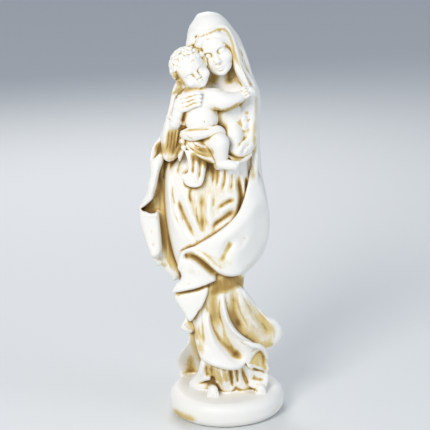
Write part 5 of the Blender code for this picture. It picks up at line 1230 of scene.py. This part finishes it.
# How the wash lies: in broad recesses, in fine creases, and over some places more than others, with painted
# shade added under overhangs

def blurred(values, radius):
    for axis in range(3):
        for _ in range(2):
            pad = [(0, 0)] * 3
            pad[axis] = (radius + 1, radius)
            total = np.cumsum(np.pad(values, pad, mode="edge"), axis=axis, dtype=np.float64)
            upper = np.take(total, range(2 * radius + 1, total.shape[axis]), axis=axis)
            lower = np.take(total, range(0, total.shape[axis] - 2 * radius - 1), axis=axis)
            values = ((upper - lower) / (2 * radius + 1)).astype(np.float32)
    return values


# Values of a block of even cells at points between them
def sampled(block, axes, points):
    step = axes[0][1] - axes[0][0]
    place = [(points[:, n] - axes[n][0]) / step for n in range(3)]
    first = [np.clip(p.astype(int), 0, block.shape[n] - 2) for n, p in enumerate(place)]
    part = [np.clip(p - f, 0, 1) for p, f in zip(place, first)]
    total = 0.0
    for corner in range(8):
        offset = [(corner >> n) & 1 for n in range(3)]
        weight = 1.0
        for n in range(3):
            weight = weight * (part[n] if offset[n] else 1.0 - part[n])
        total = total + weight * block[tuple(first[n] + offset[n] for n in range(3))]
    return total


# The places of a mesh's points, then the directions they face
def meshPoints(mesh):
    for name in ("co", "normal"):
        values = np.empty(3 * len(mesh.vertices), np.float32)
        mesh.vertices.foreach_get(name, values)
        yield values.reshape(-1, 3).astype(float)


# How far the surface sinks below its smoothed shape, in millimetres, for each count of smoothing passes
def sunken(mesh, counts):
    points, normals = meshPoints(mesh)
    a, b = meshEdges(mesh)
    degree = np.bincount(np.concatenate([a, b]), minlength=len(points))
    smooth = points.copy()
    for done in range(max(counts)):
        total = np.stack([np.bincount(a, smooth[b, n], len(points))
                          + np.bincount(b, smooth[a, n], len(points)) for n in range(3)], axis=1)
        smooth = 0.4 * smooth + 0.6 * total / degree[:, None]
        if done + 1 in counts:
            yield 1000 * ((smooth - points) * normals).sum(axis=1)


def setAttribute(mesh, name, values):
    attribute = mesh.attributes.new(name, "FLOAT", "POINT")
    attribute.data.foreach_set("value", np.asarray(values, np.float32))


def layWash(piece):
    mesh = piece.data
    axes = evenAxes(statueSettings["broad"])
    clay = Clay(axes)
    sculpt(clay)
    level = clay.axes[2][None, None, :]
    outward = np.sqrt(clay.axes[0][:, None, None] ** 2 + clay.axes[1][None, :, None] ** 2)
    disc = np.maximum(outward - baseRadius / unit, level - drawnFoot)
    solid = np.clip(0.5 - np.minimum(clay.field, disc) / statueSettings["broad"], 0.0, 1.0).astype(np.float32)
    points, normals = meshPoints(mesh)
    places = points / unit
    places[:, 0] -= drawnOffset
    places[:, 2] += drawnFoot - baseHeight / unit
    # Cells blurred over, and how far above the surface they are read
    near, broad, wide = (sampled(blurred(solid, radius), axes, places + normals * lift)
                         for radius, lift in ((2, 0.8), (5, 1.5), (9, 2.5)))
    fine, fold = sunken(mesh, (5, 30))
    # The top of the base keeps no wash but right at the hem
    above = eased((places[:, 2] - drawnFoot - 0.4) / 1.5)
    near, broad, wide = near * (0.45 + 0.55 * above), broad * (0.5 + 0.5 * above), wide * above
    fine, fold = fine * above, fold * above
    for name, values in (("near", near), ("broad", broad), ("wide", wide), ("fine", fine), ("fold", fold)):
        setAttribute(mesh, name, values)
    setAttribute(mesh, "golden", goldenPlaces(clay, places, normals))
    print("wash laid")


# Where the brush left more wash, and where shade is painted under overhangs, sleeves and the wrap, on the
# front drawing: path, reach and strength
washAndShadeStrokes = (
    # Veil's rim, hair and neck
    ([(-17.4, 259), (-16, 263), (-13.6, 265.6), (-8, 266.4), (-4, 267.8), (1, 270.2), (5, 270.4),
      (8.4, 267.6), (11, 261), (12.4, 254), (15, 247), (18, 241.6), (22, 235.4), (27, 229)], 1.5, 1.0),
    ([(-16.6, 261), (-13, 258.5), (-10.4, 255)], 2.4, 0.7),
    ([(-9, 256), (-8, 252), (-6, 247), (-4.4, 242)], 1.3, 0.9),
    ([(8, 262), (11, 254), (11.6, 247), (13, 240)], 2.0, 0.7),
    ([(-4, 241), (-1, 239), (1, 236)], 4.0, 1.2),
    ([(-5, 236), (-2.4, 231.6), (2, 229.6), (6, 230)], 1.6, 0.7),
    ([(8, 246), (9, 232)], 2.5, 0.5),
    ([(-28.5, 246), (-26.5, 241), (-24, 236), (-20, 233)], 4.2, 1.3),
    ([(-21, 248), (-16, 249.6), (-13, 252.6)], 1.4, 0.8),
    ([(-27, 226), (-24, 231), (-20, 233)], 3.0, 0.9),
    # Painted shade under the child's head, with the wash
    ([(-28, 231.5), (-22, 231), (-14, 232)], 2.4, 1.0),
    ([(-31.5, 226), (-29, 229), (-26, 229.5), (-25, 226)], 1.5, 1.0),
    ([(-36, 212), (-34, 220), (-32, 226)], 1.6, 0.6),
    # Between the fingers
    *[([(-22.6, 218.8 + 2.9 * row), (-19.0, 220.2 + 2.9 * row), (-15.2, 222.0 + 2.6 * row),
        (-11.2, 222.6 + 2.6 * row)], 0.9, 1.2) for row in range(3)],
    *[([(18.4 - 0.9 * row, 226.1 + 1.75 * row), (22.0 - 0.9 * row, 227.9 + 1.75 * row)], 0.7, 0.9)
      for row in range(3)],
    # Under the hand, the arm and along the mantle's inner edge
    ([(-21, 217), (-23, 212), (-24, 207)], 2.2, 1.1),
    # Painted shade under the child's arm, with the wash
    ([(-3.4, 222), (-1.5, 218.4), (3, 216.4), (9, 217.8), (15, 221), (20.5, 223.6)], 2.4, 1.5),
    ([(-3, 219), (-0.6, 213), (0.6, 206)], 1.6, 0.5),
    ([(23, 232), (25.4, 224), (24.6, 212), (24, 200), (24.4, 186), (25, 172)], 2.4, 0.75),
    ([(20, 183), (22, 175), (23, 166)], 3.5, 0.7),
    ([(17, 216), (20, 215)], 1.6, 0.6),
    ([(17, 212), (21, 211.6)], 1.6, 0.7),
    ([(7, 200), (11, 201), (13.4, 204)], 1.3, 0.4),
    ([(15.6, 197.6), (19, 200), (21.6, 203.4)], 1.2, 0.4),
    # The wrap, its sling and its hanging end
    ([(-25, 202.6), (-19, 204.2), (-9, 205.2), (1, 204.8)], 1.3, 0.8),
    ([(-24.6, 201.4), (-20, 200), (-15, 197), (-8, 197.2), (-3, 199.6)], 1.8, 0.9),
    ([(-20, 194), (-14, 190), (-8, 189), (-4, 193)], 5.0, 1.0),
    # Painted shade under the slung cloth, with the wash
    ([(-21, 190), (-15, 184.6), (-8, 181.4), (-1, 179)], 3.4, 2.0),
    ([(-11, 182), (-6, 178), (0, 176)], 4.6, 1.5),
    ([(-4.6, 196), (-4, 190), (-3.6, 185)], 1.4, 0.8),
    ([(-25.4, 173.6), (-23.4, 175), (-21, 175.4)], 2.4, 0.9),
    ([(-25, 170), (-22, 166.4), (-18, 165), (-13.6, 164.6)], 1.5, 1.0),
    # Sleeves: wash and painted shade inside the hanging sleeve, under its cuff, in the mantle's opening over
    # the elbow and under the sleeve at the right
    ([(-28, 207), (-31, 197), (-32, 184)], 7.0, 1.5),
    ([(-25, 200), (-27, 192), (-31, 186)], 4.4, 1.6),
    ([(-37, 187), (-32, 183.6), (-26, 186)], 3.2, 1.3),
    ([(-42, 197), (-39, 192), (-40, 187)], 5.0, 1.9),
    ([(6.6, 191), (9, 186.4), (13, 183.6), (19, 184.4)], 3.0, 1.6),
    # The mantle's hollows at the left
    ([(-52, 151), (-46, 152), (-42, 150)], 6.0, 1.0),
    ([(-42, 150), (-41, 158), (-39.5, 168), (-38.4, 176)], 3.0, 0.8),
    ([(-40, 148), (-39.6, 138), (-37, 126), (-34, 114), (-31, 104)], 3.8, 0.7),
    ([(-38, 138), (-36, 124), (-34, 112), (-31.4, 102)], 5.0, 0.8),
    ([(-45, 117), (-40, 113), (-36, 106)], 4.0, 0.7),
    # The gown over the belly and at the right
    ([(-8, 176), (-3, 174), (0, 170)], 5.5, 0.9),
    ([(-28, 160), (-25.6, 150), (-21, 139), (-18, 129)], 2.0, 0.6),
    ([(-12, 148), (-12.4, 138), (-12, 133)], 2.6, 0.6),
    ([(-6, 134), (-3, 139.5), (3, 143.5), (10, 147.4)], 2.0, 0.7),
    ([(3, 152), (6, 154.4), (11, 155)], 1.6, 0.5),
    ([(12, 172), (13.6, 164), (14.6, 156), (13.4, 148), (11, 143)], 2.4, 0.8),
    ([(17, 172), (18, 164), (16.6, 156)], 2.4, 0.7),
    # The swag's fold line, and painted shade with the wash in the bands below its layers
    ([(8, 128), (5, 122), (3, 117)], 2.0, 0.3),
    ([(-24, 118.6), (-20, 117.4), (-14, 114), (-8, 108), (-1, 102)], 3.2, 0.8),
    ([(-34, 90), (-28, 91), (-20, 92.6), (-12, 94.6), (-6, 97), (0, 100)], 3.0, 1.0),
    ([(-33, 88), (-28, 89)], 4.0, 0.6),
    # Skirt
    ([(-2, 101), (-5.6, 92), (-6.4, 80), (-4.8, 69), (-2, 60)], 5.0, 1.15),
    ([(-1.4, 59), (3.8, 50.6), (10, 43.6), (18, 38.4)], 4.0, 0.35),
    ([(3, 84), (6, 72), (12, 62), (20, 56)], 5.0, 0.55),
    ([(22, 76), (30, 66), (34, 58)], 6.0, 0.35),
    ([(24, 52), (30, 50.6), (36, 53)], 3.0, 0.7),
    ([(-20, 74), (-20, 60), (-17.6, 50), (-14.6, 40)], 7.0, 0.9),
    ([(-26, 70), (-24, 64)], 4.0, 0.8),
    ([(-31, 31), (-25, 30.4), (-20, 31.6)], 1.8, 0.7),
    # Painted shade: the shadow under the lower hem where it meets the base and the foot
    ([(-22, 23), (-17, 25), (-9, 26), (-4.6, 23), (-2, 18.6), (2, 16.6)], 2.2, 0.4),
    ([(6.4, 19.6), (12, 18), (17, 19.6)], 1.5, 0.5),
    ([(20, 20), (23, 16.4)], 2.4, 0.8),
    # Stains low on the base
    ([(-38, 8), (-34, 3), (-26, -1.4), (-16, -4.2)], 3.4, 1.0),
    ([(30, 0), (36, 4), (39, 9)], 2.0, 0.4),
)

# Larger areas the wash was rubbed over, and areas of painted shade under the swag and the upper hem: outline,
# strength and softness of the edge
washAndShadeAreas = (
    ([(-22, 170), (10, 172), (12, 158), (8, 150), (0, 146), (-8, 136), (-12, 132), (-18, 140), (-22, 155)],
     0.38, 6.0),
    # Painted shade under the swag's lower edge, with the wash
    ([(-8, 90), (0, 101), (6, 102), (14, 101), (16, 96), (8, 93), (0, 90)], 1.4, 4.0),
    ([(6, 94), (14, 90), (24, 78), (36, 66), (38, 56), (28, 50), (14, 58), (4, 74)], 0.46, 5.0),
    ([(-27, 54), (-29, 46), (-29.4, 38), (-28.4, 32), (-22, 31), (-18, 36), (-17, 46), (-21, 56)], 0.14, 2.6),
    ([(18, 38), (21.4, 44.6), (25, 48), (28.4, 45), (29.4, 39), (30.6, 33), (27, 33.6), (21, 36.4)],
     0.8, 1.8),
    # Painted shade under the upper skirt's hem, with the wash
    ([(-14, 39), (-6, 35), (0, 32), (10, 33), (8, 28), (-2, 24), (-8, 27), (-13, 30)], 0.75, 3.0),
    # Painted shade on the layer just below the swag's edge, with the wash
    ([(-24, 108), (-20, 103), (-4, 103), (4, 108), (8, 112), (-2, 116), (-14, 122), (-22, 124)], 0.36, 6.0),
)


# The wash from the strokes and areas above, with their painted shade, at points of the surface that face the
# viewer
def goldenPlaces(clay, places, normals):
    drawn = Relief(clay, (-64, -10))
    drawn.strokes(washAndShadeStrokes)
    for outline, strength, edge in washAndShadeAreas:
        drawn.patch(outline, strength, edge)
    across, up = seen(*places.T)
    (i, u), (k, v) = drawn.cell(across, drawn.x[:, 0]), drawn.cell(up, drawn.z[0])
    near = drawn.height[i, k] * (1 - u) + drawn.height[i + 1, k] * u
    far = drawn.height[i, k + 1] * (1 - u) + drawn.height[i + 1, k + 1] * u
    facing = eased(0.3 - 1.6 * normals[:, 1])
    return np.clip(near * (1 - v) + far * v, 0, 1.8) * facing


# Material nodes

resinLook = {
    "ivory": (0.86, 0.84, 0.79, 1.0),
    "golden": (0.66, 0.51, 0.21, 1.0),
    "brown": (0.41, 0.25, 0.06, 1.0),
    "deep": (0.21, 0.11, 0.018, 1.0),
    "roughness": 0.52,
    # Measure of the surface, the values where its share starts and is full, and how much it counts
    "wash": (("near", 0.38, 0.72, 0.55), ("broad", 0.40, 0.72, 0.24), ("wide", 0.40, 0.66, 0.12),
             ("fine", 0.01, 0.24, 0.72), ("fold", 0.05, 1.00, 0.45),
             ("fine", -0.03, -0.25, -0.35), ("fold", -0.20, -1.20, -0.35)),
    # How much the drawn wash and the painted shade count
    "strokedWashAndShade": 0.85,
    "stages": (("golden", 0.10, 0.66), ("brown", 0.60, 1.25), ("deep", 1.20, 1.95)),
    "patchiness": 0.30,
    "stipple": 0.30,
    "streaks": 0.36,
}


class Nodes:
    def __init__(self, tree):
        self.tree = tree

    def add(self, kind, **settings):
        node = self.tree.nodes.new(kind)
        for name, value in settings.items():
            setattr(node, name, value)
        return node

    def link(self, output, target):
        self.tree.links.new(output, target)

    def attribute(self, name):
        return self.add("ShaderNodeAttribute", attribute_name=name).outputs["Fac"]

    def noise(self, scale, detail, stretch=1.0):
        node = self.add("ShaderNodeTexNoise")
        coordinates = self.add("ShaderNodeTexCoord")
        place = self.add("ShaderNodeMapping")
        place.inputs["Scale"].default_value = (1.0, 1.0, stretch)
        self.link(coordinates.outputs["Object"], place.inputs["Vector"])
        self.link(place.outputs["Vector"], node.inputs["Vector"])
        node.inputs["Scale"].default_value = scale
        node.inputs["Detail"].default_value = detail
        node.inputs["Roughness"].default_value = 0.6
        return node.outputs["Fac"]

    def math(self, operation, first, second=0.0, third=None):
        node = self.add("ShaderNodeMath", operation=operation)
        for place, value in enumerate((first, second, third)):
            if value is None:
                continue
            if isinstance(value, (int, float)):
                node.inputs[place].default_value = value
            else:
                self.link(value, node.inputs[place])
        return node.outputs[0]

    # A smooth step of a value from 0 at low to 1 at high
    def step(self, value, low, high):
        node = self.add("ShaderNodeMapRange", interpolation_type="SMOOTHSTEP")
        self.link(value, node.inputs["Value"])
        node.inputs["From Min"].default_value = low
        node.inputs["From Max"].default_value = high
        return node.outputs["Result"]

    def mix(self, share, first, second):
        node = self.add("ShaderNodeMix", data_type="RGBA")
        self.link(share, node.inputs["Factor"])
        for place, value in ((6, first), (7, second)):
            if isinstance(value, tuple):
                node.inputs[place].default_value = value
            else:
                self.link(value, node.inputs[place])
        return node.outputs[2]


def resinMaterial():
    material = bpy.data.materials.new("antiquedResin")
    material.use_nodes = True
    nodes = Nodes(material.node_tree)
    shader = material.node_tree.nodes["Principled BSDF"]
    grain = nodes.noise(1500, 3)
    patches = nodes.noise(110, 4)
    wide = nodes.noise(28, 3)
    streaks = nodes.noise(800, 3, stretch=0.12)
    # The drawn wash and painted shade, from the golden attribute
    amount = nodes.math("MULTIPLY", nodes.attribute("golden"), resinLook["strokedWashAndShade"])
    for name, low, high, weight in resinLook["wash"]:
        amount = nodes.math("MULTIPLY_ADD", nodes.step(nodes.attribute(name), low, high), weight, amount)
    for texture, strength in ((patches, resinLook["patchiness"]), (grain, resinLook["stipple"]),
                              (streaks, resinLook["streaks"])):
        amount = nodes.math("MULTIPLY_ADD", nodes.math("SUBTRACT", texture, 0.5), strength, amount)
    colour = resinLook["ivory"]
    for name, low, high in resinLook["stages"]:
        colour = nodes.mix(nodes.step(amount, low, high), colour, resinLook[name])
    nodes.link(colour, shader.inputs["Base Color"])
    # Roughness wanders by 0.08 to each side
    rough = nodes.math("MULTIPLY_ADD", wide, 0.16, resinLook["roughness"] - 0.08)
    nodes.link(rough, shader.inputs["Roughness"])
    bump = nodes.add("ShaderNodeBump")
    bump.inputs["Strength"].default_value = 0.12
    bump.inputs["Distance"].default_value = 0.0002
    nodes.link(nodes.math("ADD", grain, nodes.math("MULTIPLY", patches, 0.6)), bump.inputs["Height"])
    nodes.link(bump.outputs["Normal"], shader.inputs["Normal"])
    return material


statue = makeStatue()
layWash(statue)
statue.data.materials.clear()
statue.data.materials.append(resinMaterial())
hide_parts("statue")
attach(statue, "root")
print("statue ready")


# Floor, soft light and camera

stageSettings = {
    "floorReach": 6,  # metres to each side
    "floorColour": (0.72, 0.73, 0.72, 1.0),
    "worldColour": (0.78, 0.86, 1.0, 1.0),
    "worldStrength": 0.5,
    "aim": (0, 0, 0.14),  # where the softboxes point
    # Place, size, power and colour of each softbox
    "lights": (((-0.50, -0.95, 0.75), 0.45, 9.8, (1.0, 0.975, 0.94)),
               ((0.95, -0.50, 0.45), 0.60, 3.0, (0.86, 0.93, 1.0)),
               ((-0.20, 0.90, 0.80), 0.60, 5.0, (1.0, 0.98, 0.95))),
}


def makeStage():
    floorMesh = bpy.data.meshes.new("floor")
    reach = stageSettings["floorReach"]
    corners = [(reach * x, reach * y, 0) for x, y in ((-1, -1), (1, -1), (1, 1), (-1, 1))]
    floorMesh.from_pydata(corners, [], [(0, 1, 2, 3)])
    floor = newObject("floor", floorMesh)
    material = bpy.data.materials.new("floorPaint")
    material.use_nodes = True
    shader = material.node_tree.nodes["Principled BSDF"]
    shader.inputs["Base Color"].default_value = stageSettings["floorColour"]
    shader.inputs["Roughness"].default_value = 0.85
    floorMesh.materials.append(material)
    world = bpy.data.worlds.new("studio")
    bpy.context.scene.world = world
    world.use_nodes = True
    background = world.node_tree.nodes["Background"]
    background.inputs["Color"].default_value = stageSettings["worldColour"]
    background.inputs["Strength"].default_value = stageSettings["worldStrength"]
    for place, size, power, colour in stageSettings["lights"]:
        data = bpy.data.lights.new("softbox", "AREA")
        data.energy, data.size, data.color = power, size, colour
        light = newObject("softbox", data)
        light.location = place
        aim = Vector(stageSettings["aim"]) - Vector(place)
        light.rotation_euler = aim.to_track_quat("-Z", "Y").to_euler()


cameraSettings = {
    "target": (-0.00466, 0.0, 0.14112),
    "distance": 0.99132,
    "elevation": 15.0,
    "azimuth": 0.0,
    "roll": -1.6,
    "focalPixels": 1453.0,  # focal length for the image width below
    "imagePixels": 430,
}


def makeCamera():
    data = bpy.data.cameras.new("camera")
    data.sensor_width = 36.0
    data.lens = cameraSettings["focalPixels"] * data.sensor_width / cameraSettings["imagePixels"]
    camera = newObject("camera", data)
    elevation, azimuth = math.radians(cameraSettings["elevation"]), math.radians(cameraSettings["azimuth"])
    back = Vector((math.sin(azimuth) * math.cos(elevation), -math.cos(azimuth) * math.cos(elevation),
                   math.sin(elevation)))
    right = Vector((math.cos(azimuth), math.sin(azimuth), 0))
    up = back.cross(right)
    roll = math.radians(cameraSettings["roll"])
    across = right * math.cos(roll) + up * math.sin(roll)
    upright = up * math.cos(roll) - right * math.sin(roll)
    place = Matrix((across, upright, back)).transposed().to_4x4()
    place.translation = Vector(cameraSettings["target"]) + back * cameraSettings["distance"]
    camera.matrix_world = place
    bpy.context.scene.camera = camera
    bpy.context.scene.view_settings.view_transform = "Standard"


makeStage()
makeCamera()
print("stage ready")
